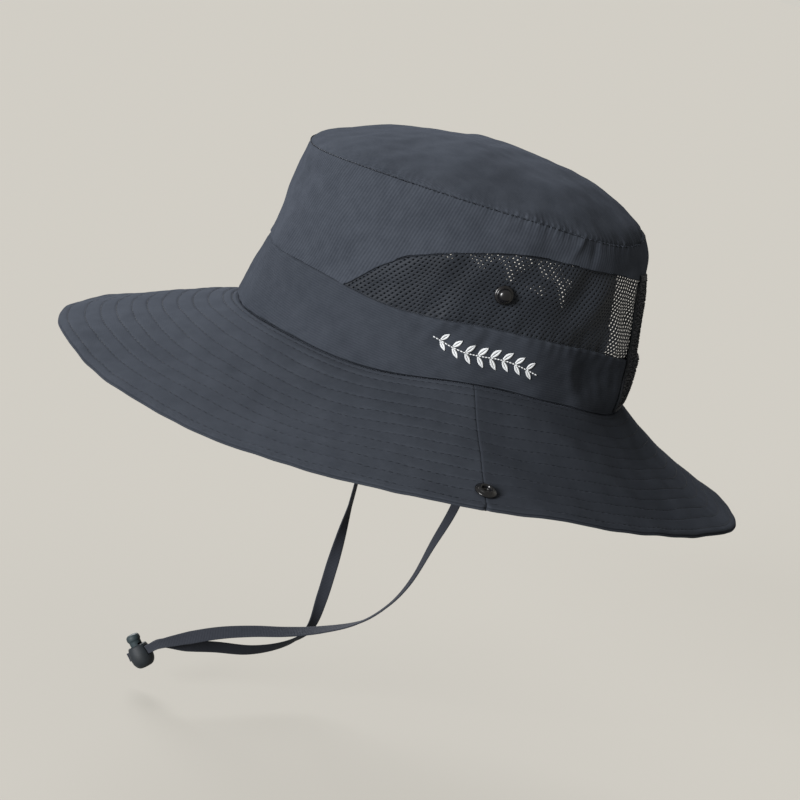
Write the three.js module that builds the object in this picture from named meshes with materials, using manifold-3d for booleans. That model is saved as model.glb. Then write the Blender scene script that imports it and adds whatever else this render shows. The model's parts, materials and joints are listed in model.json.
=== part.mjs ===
// Wide-brimmed sun hat with net windows, a ponytail opening at the back and a ribbon chin strap.
// Millimetres. +Z is up, the front of the brim points to -Y and the wearer's left is +X.
// The origin is the middle of the head opening, level with the foot of the crown at the front.
// Angles run in degrees from the front, 0, towards the wearer's left, 90, to the back, 180.

import * as THREE from 'three';
import { mergeVertices } from 'three/addons/utils/BufferGeometryUtils.js';
import Module from 'manifold-3d';

const wasm = await Module();
wasm.setup();

// Crown: half sizes of the oval at its foot and of the oval at its top seam, and its heights
const BASE_HALF_LENGTH = 100;
const BASE_HALF_WIDTH = 82;
const TOP_HALF_LENGTH = 86;
const TOP_HALF_WIDTH = 78.5;
const CROWN_HEIGHT = 84;
const DOME_RISE = 20;
const FRONT_BULGE = 1.2;
const BACK_BULGE = 5;

// Cloth: walls, and how far the band stands proud of the crown and the net lies below it
const CLOTH_WALL = 1.6;
const NET_WALL = 1;
const NET_RECESS = 0.3;
const BAND_HEIGHT = 32;
const BAND_PROUD = 0.6;
const SEAM_LAP = 1;

// Brim: how far it reaches past the crown, how far it falls, its two plies and its inner lap
const BRIM_REACH = 80;
const BRIM_DROP = 40;
const BRIM_WALL = 2.2;
const BRIM_LAP = 1.8;
const SIDE_SEAM_DEG = 87;

// Ponytail opening at the back, and the fastening tapes along its two edges
const OPENING_HALF_WIDTH = 20;
const TAPE_WIDTH = 18;
const TAPE_WALL = 1.8;
const TAPE_LIFT = 1.5;
const TAPE_LAP = 3;

// Press studs: domed halves on the nets, ring sockets on the brim
const STUD_FLANGE_R = 4.85;
const STUD_DOME_R = 2.8;
const STUD_HEIGHT = 3.7;
const STUD_DEG = 88;
const STUD_Z = 46.8;
const SOCKET_R = 5;
const SOCKET_RING_R = 3.5;
const SOCKET_HOLE_R = 2.2;
const SOCKET_HEIGHT = 1.9;
const SOCKET_DEG = 86;
const SOCKET_SHARE = 0.86;

// Chin strap: a flat ribbon that narrows where it goes through the cord lock
const STRAP_WIDTH = 6.5;
const STRAP_WALL = 1;
const STRAP_HELD_WIDTH = 4.4;
const STRAP_ANCHOR_DEG = 95;
const STRAP_STACK = 0.75;

// Cord lock: a barrel with a bore, a cross hole for the strap, and a sprung button on a stem
const LOCK_PLACE = new THREE.Vector3(0, -100.2, -189.7);
const LOCK_AXIS = new THREE.Vector3(-0.366, -0.597, 0.714).normalize();
const LOCK_PASSAGE = new THREE.Vector3(-0.574, -0.459, -0.678);
const LOCK_R = 5.9;
const LOCK_BOTTOM = 6.5;
const LOCK_TOP = 6.6;
const LOCK_BORE_R = 3.8;
const LOCK_FLOOR = 1.3;
const BUTTON_R = 4;
const BUTTON_HEIGHT = 3.3;
const BUTTON_TRAVEL = 2.5;
const STRAP_LEVEL = 2.5;
const CROSS_HOLE_WIDTH = 3.4;

// Clearance between neighbours, and how finely the cloth is divided
const GAP = 0.3;
const STEP_DEG = 4;
const ROUND_SIDES = 18;
const WALL_ROWS = 3;
const BAND_ROWS = 2;
const TAPE_ROWS = 6;
const BRIM_FRONT_COLUMNS = 42;
const BRIM_BACK_COLUMNS = 44;

// Sections of the turned pieces: radius as a share of the named one, height as a share of the piece's
const STUD_SECTION = {
  flangeEdge: 0.17,
  flangeTop: 0.33,
  shoulder: 0.62,
  crest: { radius: 0.75, height: 0.87 },
};
const SOCKET_SECTION = { flange: 0.35, slope: 0.6, lip: 0.75, floor: 0.4, edge: 0.4 };
const BARREL_SECTION = [
  { radius: 0.45, height: -1 },
  { radius: 0.78, height: -0.78 },
  { radius: 0.96, height: -0.38 },
  { radius: 1, height: 0 },
  { radius: 0.96, height: 0.45 },
  { radius: 0.86, height: 0.88 },
  { radius: 0.80, height: 1 },
];
const CAP_SECTION = { shoulder: 0.6, topRadius: 0.72 };

// Section of the ribbon, as shares of its width and thickness
const RIBBON_SECTION = [
  { width: 0.5, wall: -0.2 },
  { width: 0.5, wall: 0.2 },
  { width: 0.42, wall: 0.5 },
  { width: -0.42, wall: 0.5 },
  { width: -0.5, wall: 0.2 },
  { width: -0.5, wall: -0.2 },
  { width: -0.42, wall: -0.5 },
  { width: 0.42, wall: -0.5 },
];

// Heights on the band between which each end of the strap is sewn, as shares of the band height
const SEWN_HEIGHTS = [0.6, 0.35];

// Foot of the crown: height of its line, as a share of the crown's height
const BASE_LINE = [
  { deg: 0, lift: 0 },
  { deg: 30, lift: -0.006 },
  { deg: 60, lift: -0.025 },
  { deg: 90, lift: 0.042 },
  { deg: 120, lift: 0.006 },
  { deg: 145, lift: -0.057 },
  { deg: 180, lift: -0.040 },
];

// Top seam: its height as a share of the crown's height, and how full the dome is over it
const SEAM_LINE = [
  { deg: 0, lift: 0.993, fullness: 2.1 },
  { deg: 45, lift: 1.015, fullness: 2.2 },
  { deg: 90, lift: 0.998, fullness: 2.3 },
  { deg: 135, lift: 0.942, fullness: 2.5 },
  { deg: 180, lift: 0.986, fullness: 2.55 },
];

// Band: its height round the crown, as a share of the band height
const BAND_LINE = [
  { deg: 0, height: 1.01 },
  { deg: 44, height: 0.99 },
  { deg: 85, height: 0.85 },
  { deg: 115, height: 0.87 },
  { deg: 140, height: 0.90 },
  { deg: 180, height: 0.80 },
];

// Net window: its arched upper edge above the band, as a share of the crown's height
const NET_ARCH = [
  { deg: 44, rise: 0 },
  { deg: 48, rise: 0.066 },
  { deg: 52, rise: 0.152 },
  { deg: 56, rise: 0.218 },
  { deg: 60, rise: 0.275 },
  { deg: 66, rise: 0.322 },
  { deg: 74, rise: 0.365 },
  { deg: 84, rise: 0.398 },
  { deg: 96, rise: 0.425 },
  { deg: 120, rise: 0.436 },
  { deg: 145, rise: 0.470 },
  { deg: 180, rise: 0.500 },
];

// Brim: reach and fall of the rim, and rise of its middle, as shares of the brim's reach and drop
const RIM_LINE = [
  { deg: 0, reach: 1.004, fall: 0.802, middle: 0.010 },
  { deg: 45, reach: 1.005, fall: 0.917, middle: -0.020 },
  { deg: 90, reach: 0.972, fall: 0.786, middle: -0.047 },
  { deg: 135, reach: 0.884, fall: 0.924, middle: -0.080 },
  { deg: 180, reach: 0.928, fall: 1.147, middle: -0.112 },
];

// Soft dents in the front half of the crown, on both sides: depth as a share of the crown's height
const DENTS = [
  { deg: 9, level: 0.86, depth: 0.014, spreadDeg: 9, spreadLevel: 0.10 },
  { deg: 23, level: 0.44, depth: 0.018, spreadDeg: 8, spreadLevel: 0.10 },
  { deg: 39, level: 0.42, depth: 0.014, spreadDeg: 7, spreadLevel: 0.08 },
];

// Rows of the dome, from the seam, 1, to the middle, 0, and of the brim, from the rim, 1, inwards
const DOME_ROWS = [1, 0.9, 0.72, 0.48, 0.22, 0];
const BRIM_ROWS = [1, 0.82, 0.64, 0.46, 0.28, 0.1, 0.01];

// Wearer's left strand of the chin strap, downwards from the band. turn: how far the ribbon is
// turned about its own line from facing sideways, in degrees
const LEFT_STRAND = [
  { x: 76.8, y: 8.6, z: -12, turn: 5 },
  { x: 73.6, y: 10.6, z: -32, turn: 15 },
  { x: 68, y: 11.8, z: -58.7, turn: 30 },
  { x: 60, y: 9.6, z: -83.4, turn: 45 },
  { x: 51, y: 7.6, z: -107.4, turn: 60 },
  { x: 44, y: 2.4, z: -123.1, turn: 75 },
  { x: 37, y: -6.7, z: -137, turn: 80 },
  { x: 28.5, y: -23, z: -148.3, turn: 55 },
  { x: 22, y: -38, z: -155.7, turn: 35 },
  { x: 16.5, y: -53, z: -162.3, turn: 20 },
  { x: 13, y: -68, z: -168.3, turn: 10 },
  { x: 10.8, y: -81.5, z: -173.4, turn: 5 },
];

// Wearer's right strand, downwards from the band
const RIGHT_STRAND = [
  { x: -77, y: 7.2, z: -14, turn: 5 },
  { x: -74, y: 5.4, z: -45, turn: 20 },
  { x: -69.5, y: 3.6, z: -78, turn: 55 },
  { x: -62, y: 1.7, z: -109.8, turn: 80 },
  { x: -54, y: -1, z: -125.4, turn: 45 },
  { x: -46, y: -3.7, z: -140, turn: 15 },
  { x: -38, y: -6.5, z: -155, turn: 0 },
  { x: -31, y: -10.1, z: -169.2, turn: 25 },
  { x: -25, y: -17.4, z: -175.8, turn: 60 },
  { x: -18, y: -28, z: -179, turn: 50 },
  { x: -9, y: -45, z: -181, turn: 25 },
  { x: -1, y: -65, z: -179.5, turn: 10 },
  { x: 4.6, y: -80.6, z: -178.6, turn: 5 },
];

// Loop end past the cord lock: along the passage and across it
const LOOP_END = [
  { along: -14, across: 1.6 },
  { along: -6.5, across: 1 },
  { along: 0, across: 1 },
  { along: 6.2, across: 1 },
  { along: 8.6, across: 2.9 },
  { along: 11, across: 2.4 },
];
const LOOP_TIP = 12.2;

const rad = THREE.MathUtils.degToRad;
const lerp = THREE.MathUtils.lerp;

// A column of a table at an angle: a smooth curve through the rows, the same on both sides of the hat
function byAngle(rows, column, deg) {
  const x = Math.abs(THREE.MathUtils.euclideanModulo(deg + 180, 360) - 180);
  const last = rows.length - 1;
  let i = 0;
  while (i < last - 1 && x > rows[i + 1].deg) i += 1;
  const slope = (k) => {
    if (k === 0 || k === last) return 0;
    return (rows[k + 1][column] - rows[k - 1][column]) / (rows[k + 1].deg - rows[k - 1].deg);
  };
  const span = rows[i + 1].deg - rows[i].deg;
  const t = THREE.MathUtils.clamp((x - rows[i].deg) / span, 0, 1);
  const ease = 3 * t ** 2 - 2 * t ** 3;
  const leaving = (t ** 3 - 2 * t ** 2 + t) * span * slope(i);
  const arriving = (t ** 3 - t ** 2) * span * slope(i + 1);
  return lerp(rows[i][column], rows[i + 1][column], ease) + leaving + arriving;
}

// Heights of the cloth edges round the hat
const baseZ = (deg) => CROWN_HEIGHT * byAngle(BASE_LINE, 'lift', deg);
const seamZ = (deg) => CROWN_HEIGHT * byAngle(SEAM_LINE, 'lift', deg);
const bandTopZ = (deg) => baseZ(deg) + BAND_HEIGHT * byAngle(BAND_LINE, 'height', deg);
const archZ = (deg) => bandTopZ(deg) + CROWN_HEIGHT * byAngle(NET_ARCH, 'rise', deg);

// Outward direction of the oval at an angle
function outward(deg) {
  const a = rad(deg);
  return new THREE.Vector3(Math.sin(a) / BASE_HALF_WIDTH, -Math.cos(a) / BASE_HALF_LENGTH, 0).normalize();
}

// How deep the dents press the crown in at an angle and level
function dentDepth(deg, level) {
  const x = Math.abs(THREE.MathUtils.euclideanModulo(deg + 180, 360) - 180);
  let depth = 0;
  for (const dent of DENTS) {
    const u = (x - dent.deg) / dent.spreadDeg;
    const v = (level - dent.level) / dent.spreadLevel;
    depth += CROWN_HEIGHT * dent.depth * Math.exp(-u * u - v * v);
  }
  return depth;
}

// A point of the crown's outer face. level: 0 at the foot, 1 at the top seam. proud: outward offset
function crownPoint(deg, level, proud = 0) {
  const a = rad(deg);
  const foot = new THREE.Vector3(BASE_HALF_WIDTH * Math.sin(a), -BASE_HALF_LENGTH * Math.cos(a), baseZ(deg));
  const top = new THREE.Vector3(TOP_HALF_WIDTH * Math.sin(a), -TOP_HALF_LENGTH * Math.cos(a), seamZ(deg));
  const frontShare = 0.5 + 0.5 * Math.cos(a);
  const bulge = lerp(BACK_BULGE, FRONT_BULGE, frontShare) * 4 * level * (1 - level);
  const out = bulge + proud - dentDepth(deg, level);
  return foot.lerp(top, level).addScaledVector(outward(deg), out);
}

// The level at which the crown's face has a height
const levelAt = (deg, z) => (z - baseZ(deg)) / (seamZ(deg) - baseZ(deg));

// A point of the dome. share: 1 at the seam, 0 in the middle. inset and lower make its inner face
function domePoint(deg, share, inset, lower) {
  const a = rad(deg);
  const fullness = byAngle(SEAM_LINE, 'fullness', deg);
  const rise = (CROWN_HEIGHT + DOME_RISE - lower - seamZ(deg)) * (1 - share ** fullness);
  return new THREE.Vector3(
    (TOP_HALF_WIDTH - inset) * Math.sin(a) * share,
    -(TOP_HALF_LENGTH - inset) * Math.cos(a) * share,
    seamZ(deg) + rise,
  );
}

// A point of the brim's upper face. share: 0 at the crown, 1 at the rim, negative under the band
function brimPoint(deg, share, lower = 0) {
  const a = rad(deg);
  const reach = BRIM_REACH * byAngle(RIM_LINE, 'reach', deg);
  const rimZ = -BRIM_DROP * byAngle(RIM_LINE, 'fall', deg);
  const t = Math.max(share, 0);
  const middle = BRIM_DROP * byAngle(RIM_LINE, 'middle', deg) * 4 * t * (1 - t);
  const z = lerp(baseZ(deg), rimZ, t) + middle - lower;
  const foot = new THREE.Vector3(BASE_HALF_WIDTH * Math.sin(a), -BASE_HALF_LENGTH * Math.cos(a), z);
  return foot.addScaledVector(outward(deg), reach * share);
}

// A closed wall between two grids of points, rows[row][column], wound so that outer faces out.
// round: the columns go all the way round, and the last one meets the first
function wall(outer, inner, round = false) {
  const positions = [];
  const corner = (p) => positions.push(p.x, p.y, p.z);
  const triangle = (a, b, c) => {
    if (a.distanceTo(b) < 1e-6 || b.distanceTo(c) < 1e-6 || c.distanceTo(a) < 1e-6) return;
    [a, b, c].forEach(corner);
  };
  const quad = (a, b, c, d) => {
    triangle(a, b, c);
    triangle(a, c, d);
  };
  const top = outer.length - 1;
  const columns = outer[0].length;
  const pairs = round ? columns : columns - 1;
  for (let i = 0; i < pairs; i += 1) {
    const n = (i + 1) % columns;
    for (let j = 0; j < top; j += 1) {
      quad(outer[j][i], outer[j][n], outer[j + 1][n], outer[j + 1][i]);
      quad(inner[j][n], inner[j][i], inner[j + 1][i], inner[j + 1][n]);
    }
    quad(inner[0][i], inner[0][n], outer[0][n], outer[0][i]);
    quad(outer[top][i], outer[top][n], inner[top][n], inner[top][i]);
  }
  if (!round) {
    const end = columns - 1;
    for (let j = 0; j < top; j += 1) {
      quad(outer[j][0], outer[j + 1][0], inner[j + 1][0], inner[j][0]);
      quad(outer[j][end], inner[j][end], inner[j + 1][end], outer[j + 1][end]);
    }
  }
  const geometry = new THREE.BufferGeometry();
  geometry.setAttribute('position', new THREE.Float32BufferAttribute(positions, 3));
  return mergeVertices(geometry, 1e-5);
}

// A grid of points: one row for each of rows, one column for each angle
const grid = (angles, rows, point) => rows.map((row) => angles.map((deg) => point(deg, row)));

// Angles from one to another on whole steps, with both ends
function angles(from, to) {
  const list = [from];
  for (let deg = Math.ceil((from + 0.5) / STEP_DEG) * STEP_DEG; deg < to - 0.5; deg += STEP_DEG) {
    list.push(deg);
  }
  return [...list, to];
}

const FULL_TURN = Array.from({ length: 360 / STEP_DEG }, (_, i) => i * STEP_DEG);
const shares = (count) => Array.from({ length: count + 1 }, (_, i) => i / count);

// A piece of the crown's wall between two heights
function crownWall(columns, rowCount, lowZ, highZ, proud, thickness, round = false) {
  const point = (offset) => (deg, t) => {
    const z = lerp(lowZ(deg), highZ(deg), t);
    return crownPoint(deg, levelAt(deg, z), offset);
  };
  const rows = shares(rowCount);
  return wall(grid(columns, rows, point(proud)), grid(columns, rows, point(proud - thickness)), round);
}

// Angle at the back where the crown's foot is a distance from the middle line
const backDeg = (x) => 180 - THREE.MathUtils.radToDeg(Math.asin(x / BASE_HALF_WIDTH));
const OPENING_DEG = backDeg(OPENING_HALF_WIDTH);
const TAPE_DEG = backDeg(OPENING_HALF_WIDTH + TAPE_WIDTH);
const NET_START_DEG = NET_ARCH[0].deg;

const group = new THREE.Group();
const cloth = () => new THREE.MeshStandardMaterial({ color: 0x2c3038, roughness: 0.85, metalness: 0 });
const net = () => new THREE.MeshStandardMaterial({ color: 0x181a1f, roughness: 0.9, metalness: 0 });
const plastic = () => new THREE.MeshStandardMaterial({ color: 0x14161a, roughness: 0.35, metalness: 0 });
const tape = () => new THREE.MeshStandardMaterial({ color: 0x1c1e22, roughness: 0.95, metalness: 0 });

function add(name, geometry, material, parent = group) {
  geometry.computeVertexNormals();
  const mesh = new THREE.Mesh(geometry, material);
  mesh.name = name;
  parent.add(mesh);
  return mesh;
}

// Dome over the crown, standing on the side wall's upper edge
function crownTop() {
  const outer = grid(FULL_TURN, DOME_ROWS, (deg, share) => domePoint(deg, share, 0, 0));
  const inner = grid(FULL_TURN, DOME_ROWS, (deg, share) => {
    return domePoint(deg, share, CLOTH_WALL + SEAM_LAP, CLOTH_WALL);
  });
  return wall(outer, inner, true);
}

// Side wall of the crown: down to the band in front, and to the arch of the net windows behind
function crownSide() {
  const lower = (deg) => {
    const x = Math.min(deg, 360 - deg);
    return (x <= NET_START_DEG ? bandTopZ(deg) : archZ(deg)) + GAP;
  };
  return crownWall(FULL_TURN, WALL_ROWS, lower, (deg) => seamZ(deg) - GAP, 0, CLOTH_WALL, true);
}

// Net window on one side. side: 1 on the wearer's left, -1 on the right
function netWindow(side) {
  const left = angles(NET_START_DEG + STEP_DEG / 2, OPENING_DEG);
  const columns = side > 0 ? left : left.map((deg) => -deg).reverse();
  const low = (deg) => bandTopZ(deg) + GAP;
  return crownWall(columns, WALL_ROWS, low, (deg) => archZ(deg) - GAP, -NET_RECESS, NET_WALL);
}

// Band round the foot of the crown, from one edge of the ponytail opening to the other
function crownBand() {
  const low = (deg) => baseZ(deg) + GAP;
  const columns = angles(-OPENING_DEG, OPENING_DEG);
  return crownWall(columns, BAND_ROWS, low, bandTopZ, BAND_PROUD, CLOTH_WALL + BAND_PROUD);
}

// Fastening tape on the outside of one edge of the ponytail opening
function backTape(side) {
  const columns = angles(TAPE_DEG, OPENING_DEG);
  const placed = side > 0 ? columns : columns.map((deg) => -deg).reverse();
  const low = (deg) => baseZ(deg) + TAPE_LIFT;
  const high = (deg) => archZ(deg) + TAPE_LAP;
  return crownWall(placed, TAPE_ROWS, low, high, BAND_PROUD + GAP + TAPE_WALL, TAPE_WALL);
}

// Half of the brim between two angles, with its inner lap under the band
function brimHalf(from, to, count) {
  const clear = THREE.MathUtils.radToDeg(GAP / 2 / BASE_HALF_WIDTH);
  const columns = shares(count).map((t) => lerp(from + clear, to - clear, t));
  const rows = [...BRIM_ROWS, -BRIM_LAP / BRIM_REACH];
  const outer = grid(columns, rows, (deg, share) => brimPoint(deg, share));
  const inner = grid(columns, rows, (deg, share) => brimPoint(deg, share, BRIM_WALL));
  return wall(outer, inner);
}

// A round piece turned from radius and height pairs, standing along +Z
function turned(profile) {
  const points = profile.map(([r, h]) => new THREE.Vector2(r, h));
  const geometry = new THREE.LatheGeometry(points, ROUND_SIDES);
  geometry.rotateX(Math.PI / 2);
  return geometry;
}

// Seat a mesh on a point, with its +Z along a direction
function seat(mesh, place, direction) {
  mesh.position.copy(place);
  mesh.quaternion.setFromUnitVectors(new THREE.Vector3(0, 0, 1), direction);
}

// Direction in which a face looks, from two steps along it
function facing(point, deg, share, step = 0.5) {
  const along = point(deg + step, share).sub(point(deg - step, share));
  const across = point(deg, share + step / 50).sub(point(deg, share - step / 50));
  return along.cross(across).normalize();
}

// Domed press stud on a net window
function stud(side) {
  const deg = side * STUD_DEG;
  const level = levelAt(deg, STUD_Z);
  const edge = STUD_HEIGHT * STUD_SECTION.flangeEdge;
  const flange = STUD_HEIGHT * STUD_SECTION.flangeTop;
  const mesh = add(side > 0 ? 'crown_snap_left' : 'crown_snap_right', turned([
    [0, 0],
    [STUD_FLANGE_R, 0],
    [STUD_FLANGE_R, edge],
    [STUD_FLANGE_R - edge, flange],
    [STUD_DOME_R, flange],
    [STUD_DOME_R, STUD_HEIGHT * STUD_SECTION.shoulder],
    [STUD_DOME_R * STUD_SECTION.crest.radius, STUD_HEIGHT * STUD_SECTION.crest.height],
    [0, STUD_HEIGHT],
  ]), plastic());
  const normal = facing(crownPoint, deg, level);
  const place = crownPoint(deg, level).addScaledVector(normal, GAP - NET_RECESS);
  seat(mesh, place, normal);
}

// Ring-shaped socket on the brim, beside its side seam
function socket(side) {
  const deg = side * SOCKET_DEG;
  const mesh = add(side > 0 ? 'brim_snap_left' : 'brim_snap_right', turned([
    [0, 0],
    [SOCKET_R, 0],
    [SOCKET_R, SOCKET_HEIGHT * SOCKET_SECTION.flange],
    [SOCKET_RING_R + SOCKET_SECTION.edge, SOCKET_HEIGHT * SOCKET_SECTION.slope],
    [SOCKET_RING_R, SOCKET_HEIGHT],
    [SOCKET_HOLE_R + SOCKET_SECTION.edge, SOCKET_HEIGHT],
    [SOCKET_HOLE_R, SOCKET_HEIGHT * SOCKET_SECTION.lip],
    [SOCKET_HOLE_R, SOCKET_HEIGHT * SOCKET_SECTION.floor],
    [0, SOCKET_HEIGHT * SOCKET_SECTION.floor],
  ]), plastic());
  const normal = facing(brimPoint, deg, SOCKET_SHARE).negate();
  seat(mesh, brimPoint(deg, SOCKET_SHARE).addScaledVector(normal, GAP), normal);
}

// Solids for cutting: from a closed geometry to a manifold and back
function toManifold(geometry) {
  const bare = geometry.clone();
  bare.deleteAttribute('normal');
  bare.deleteAttribute('uv');
  const merged = mergeVertices(bare, 1e-5);
  return new wasm.Manifold(new wasm.Mesh({
    numProp: 3,
    vertProperties: new Float32Array(merged.attributes.position.array),
    triVerts: new Uint32Array(merged.index.array),
  }));
}

function fromManifold(solid) {
  const mesh = solid.getMesh();
  const geometry = new THREE.BufferGeometry();
  geometry.setAttribute('position', new THREE.Float32BufferAttribute(mesh.vertProperties, 3));
  geometry.setIndex(new THREE.Uint32BufferAttribute(mesh.triVerts, 1));
  return geometry;
}

// The cord lock's own directions: +Z up its stem, +X along the passage of the strap
const passage = LOCK_PASSAGE.clone().projectOnPlane(LOCK_AXIS).normalize();
const across = LOCK_AXIS.clone().cross(passage);
const lockTurn = new THREE.Matrix4().makeBasis(passage, across, LOCK_AXIS);

const HELD_HALF = STRAP_HELD_WIDTH / 2 + GAP;
const STEM_R = LOCK_BORE_R - GAP;
const STEM_END = STRAP_LEVEL - HELD_HALF - GAP - STRAP_WALL;
const BORE_FLOOR = LOCK_FLOOR - LOCK_BOTTOM;

// A box through a round piece, along X, between two heights
function slotCutter(low, high) {
  const box = new THREE.BoxGeometry(LOCK_R * 3, CROSS_HOLE_WIDTH, high - low);
  box.translate(0, 0, (low + high) / 2);
  return toManifold(box);
}

// Barrel of the cord lock, bored for the stem and cut across for the strap
function lockBody() {
  const side = BARREL_SECTION.map(({ radius, height }) => {
    return [LOCK_R * radius, (height < 0 ? LOCK_BOTTOM : LOCK_TOP) * height];
  });
  const barrel = toManifold(turned([[0, -LOCK_BOTTOM], ...side, [0, LOCK_TOP]]));
  const bore = toManifold(turned([
    [0, BORE_FLOOR],
    [LOCK_BORE_R, BORE_FLOOR],
    [LOCK_BORE_R, LOCK_TOP * 2],
    [0, LOCK_TOP * 2],
  ]));
  const hole = slotCutter(STRAP_LEVEL - HELD_HALF, STRAP_LEVEL + HELD_HALF);
  return fromManifold(barrel.subtract(bore).subtract(hole));
}

// Button and stem, slotted so that the strap stays clear while the button is pressed
function lockButton() {
  const cap = LOCK_TOP + GAP + BUTTON_TRAVEL;
  const blank = toManifold(turned([
    [0, STEM_END],
    [STEM_R, STEM_END],
    [STEM_R, cap],
    [BUTTON_R, cap],
    [BUTTON_R, cap + BUTTON_HEIGHT * CAP_SECTION.shoulder],
    [BUTTON_R * CAP_SECTION.topRadius, cap + BUTTON_HEIGHT],
    [0, cap + BUTTON_HEIGHT],
  ]));
  const slot = slotCutter(STRAP_LEVEL - HELD_HALF, STRAP_LEVEL + HELD_HALF + BUTTON_TRAVEL);
  return fromManifold(blank.subtract(slot));
}

// A point beside the cord lock: along the strap's passage and across it
function lockPoint(along, side) {
  const point = LOCK_PLACE.clone().addScaledVector(LOCK_AXIS, STRAP_LEVEL);
  return point.addScaledVector(passage, along).addScaledVector(across, side);
}

// Rows at the sewn end of a strand, flat on the inside of the band
function anchorRows(side) {
  const deg = side * STRAP_ANCHOR_DEG;
  const inside = CLOTH_WALL + GAP + STRAP_WALL / 2;
  const sewn = SEWN_HEIGHTS.map((height) => {
    const level = levelAt(deg, baseZ(deg) + BAND_HEIGHT * height);
    return { at: crownPoint(deg, level, -inside - GAP), turn: 0 };
  });
  const exit = crownPoint(deg, 0, -BRIM_LAP - 2 * GAP - STRAP_WALL / 2);
  return [...sewn, { at: exit, turn: 0 }];
}

// The whole line of the strap: down the left strand, through the lock, round and up the right one
function strapRows() {
  const free = (row) => ({ at: new THREE.Vector3(row.x, row.y, row.z), turn: row.turn });
  const held = (row, side) => ({
    at: lockPoint(row.along, side * row.across * STRAP_STACK),
    across: LOCK_AXIS,
    width: STRAP_HELD_WIDTH,
  });
  const left = [...anchorRows(1), ...LEFT_STRAND.map(free), ...LOOP_END.map((row) => held(row, 1))];
  const right = [...anchorRows(-1), ...RIGHT_STRAND.map(free), ...LOOP_END.map((row) => held(row, -1))];
  const tip = held({ along: LOOP_TIP, across: 0 }, 1);
  return [...left, tip, ...right.reverse()];
}

// A flat ribbon along rows of points, two steps for each row
function ribbon(rows) {
  const curve = new THREE.CatmullRomCurve3(rows.map((row) => row.at), false, 'centripetal');
  const last = rows.length - 1;
  const sideways = new THREE.Vector3(1, 0, 0);
  let previous = null;
  const widthDirections = rows.map((row, i) => {
    const tangent = curve.getTangent(i / last);
    const base = row.across ?? tangent.clone().cross(sideways);
    const direction = base.clone().projectOnPlane(tangent).normalize();
    direction.applyAxisAngle(tangent, rad(row.turn ?? 0));
    if (previous && direction.dot(previous) < 0) direction.negate();
    previous = direction;
    return direction;
  });
  const sections = [];
  for (let k = 0; k <= 2 * last; k += 1) {
    const i = Math.min(Math.floor(k / 2), last - 1);
    const t = k / 2 - i;
    const centre = curve.getPoint(k / 2 / last);
    const tangent = curve.getTangent(k / 2 / last);
    const w = widthDirections[i].clone().lerp(widthDirections[i + 1], t).projectOnPlane(tangent).normalize();
    const n = tangent.clone().cross(w);
    const width = lerp(rows[i].width ?? STRAP_WIDTH, rows[i + 1].width ?? STRAP_WIDTH, t);
    sections.push(RIBBON_SECTION.map((corner) => {
      const point = centre.clone().addScaledVector(w, corner.width * width);
      return point.addScaledVector(n, corner.wall * STRAP_WALL);
    }));
  }
  const middles = sections.map((section) => {
    const middle = section.reduce((sum, p) => sum.add(p), new THREE.Vector3()).divideScalar(section.length);
    return section.map(() => middle);
  });
  const outer = [middles[0], ...sections, middles.at(-1)];
  return tube(outer);
}

// A closed tube through rings of points whose first and last rings are single points
function tube(rings) {
  const positions = [];
  const triangle = (a, b, c) => [a, b, c].forEach((p) => positions.push(p.x, p.y, p.z));
  const sides = rings[0].length;
  const last = rings.length - 2;
  for (let j = 0; j <= last; j += 1) {
    for (let i = 0; i < sides; i += 1) {
      const n = (i + 1) % sides;
      if (j > 0) triangle(rings[j][i], rings[j][n], rings[j + 1][n]);
      if (j < last) triangle(rings[j][i], rings[j + 1][n], rings[j + 1][i]);
    }
  }
  const geometry = new THREE.BufferGeometry();
  geometry.setAttribute('position', new THREE.Float32BufferAttribute(positions, 3));
  return mergeVertices(geometry, 1e-5);
}

add('crown_top', crownTop(), cloth());
add('crown_side', crownSide(), cloth());
add('crown_band', crownBand(), cloth());
add('mesh_left', netWindow(1), net());
add('mesh_right', netWindow(-1), net());
add('back_tape_left', backTape(1), tape());
add('back_tape_right', backTape(-1), tape());
const brimFront = brimHalf(-SIDE_SEAM_DEG, SIDE_SEAM_DEG, BRIM_FRONT_COLUMNS);
const brimBack = brimHalf(SIDE_SEAM_DEG, 360 - SIDE_SEAM_DEG, BRIM_BACK_COLUMNS);
add('brim_front', brimFront, cloth());
add('brim_back', brimBack, cloth());
for (const side of [1, -1]) {
  stud(side);
  socket(side);
}
add('chin_strap', ribbon(strapRows()), tape());

const lock = new THREE.Group();
lock.position.copy(LOCK_PLACE);
lock.quaternion.setFromRotationMatrix(lockTurn);
group.add(lock);
add('toggle_body', lockBody(), plastic(), lock);
add('toggle_button', lockButton(), plastic(), lock);

export default group;
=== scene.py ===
"""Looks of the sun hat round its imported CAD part: cloth, nets, stitching, studs, chin strap and studio.

Lengths are in metres, in the part's frame: +Z is up, the front of the brim points to -Y and the
wearer's left is +X. Angles run in degrees from the front, 0, towards the wearer's left, 90.
"""

from __future__ import annotations

import json
import logging
import math
from dataclasses import dataclass, field
from enum import Enum

import bmesh
import bpy
import numpy as np
from mathutils import Matrix, Vector

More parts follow.
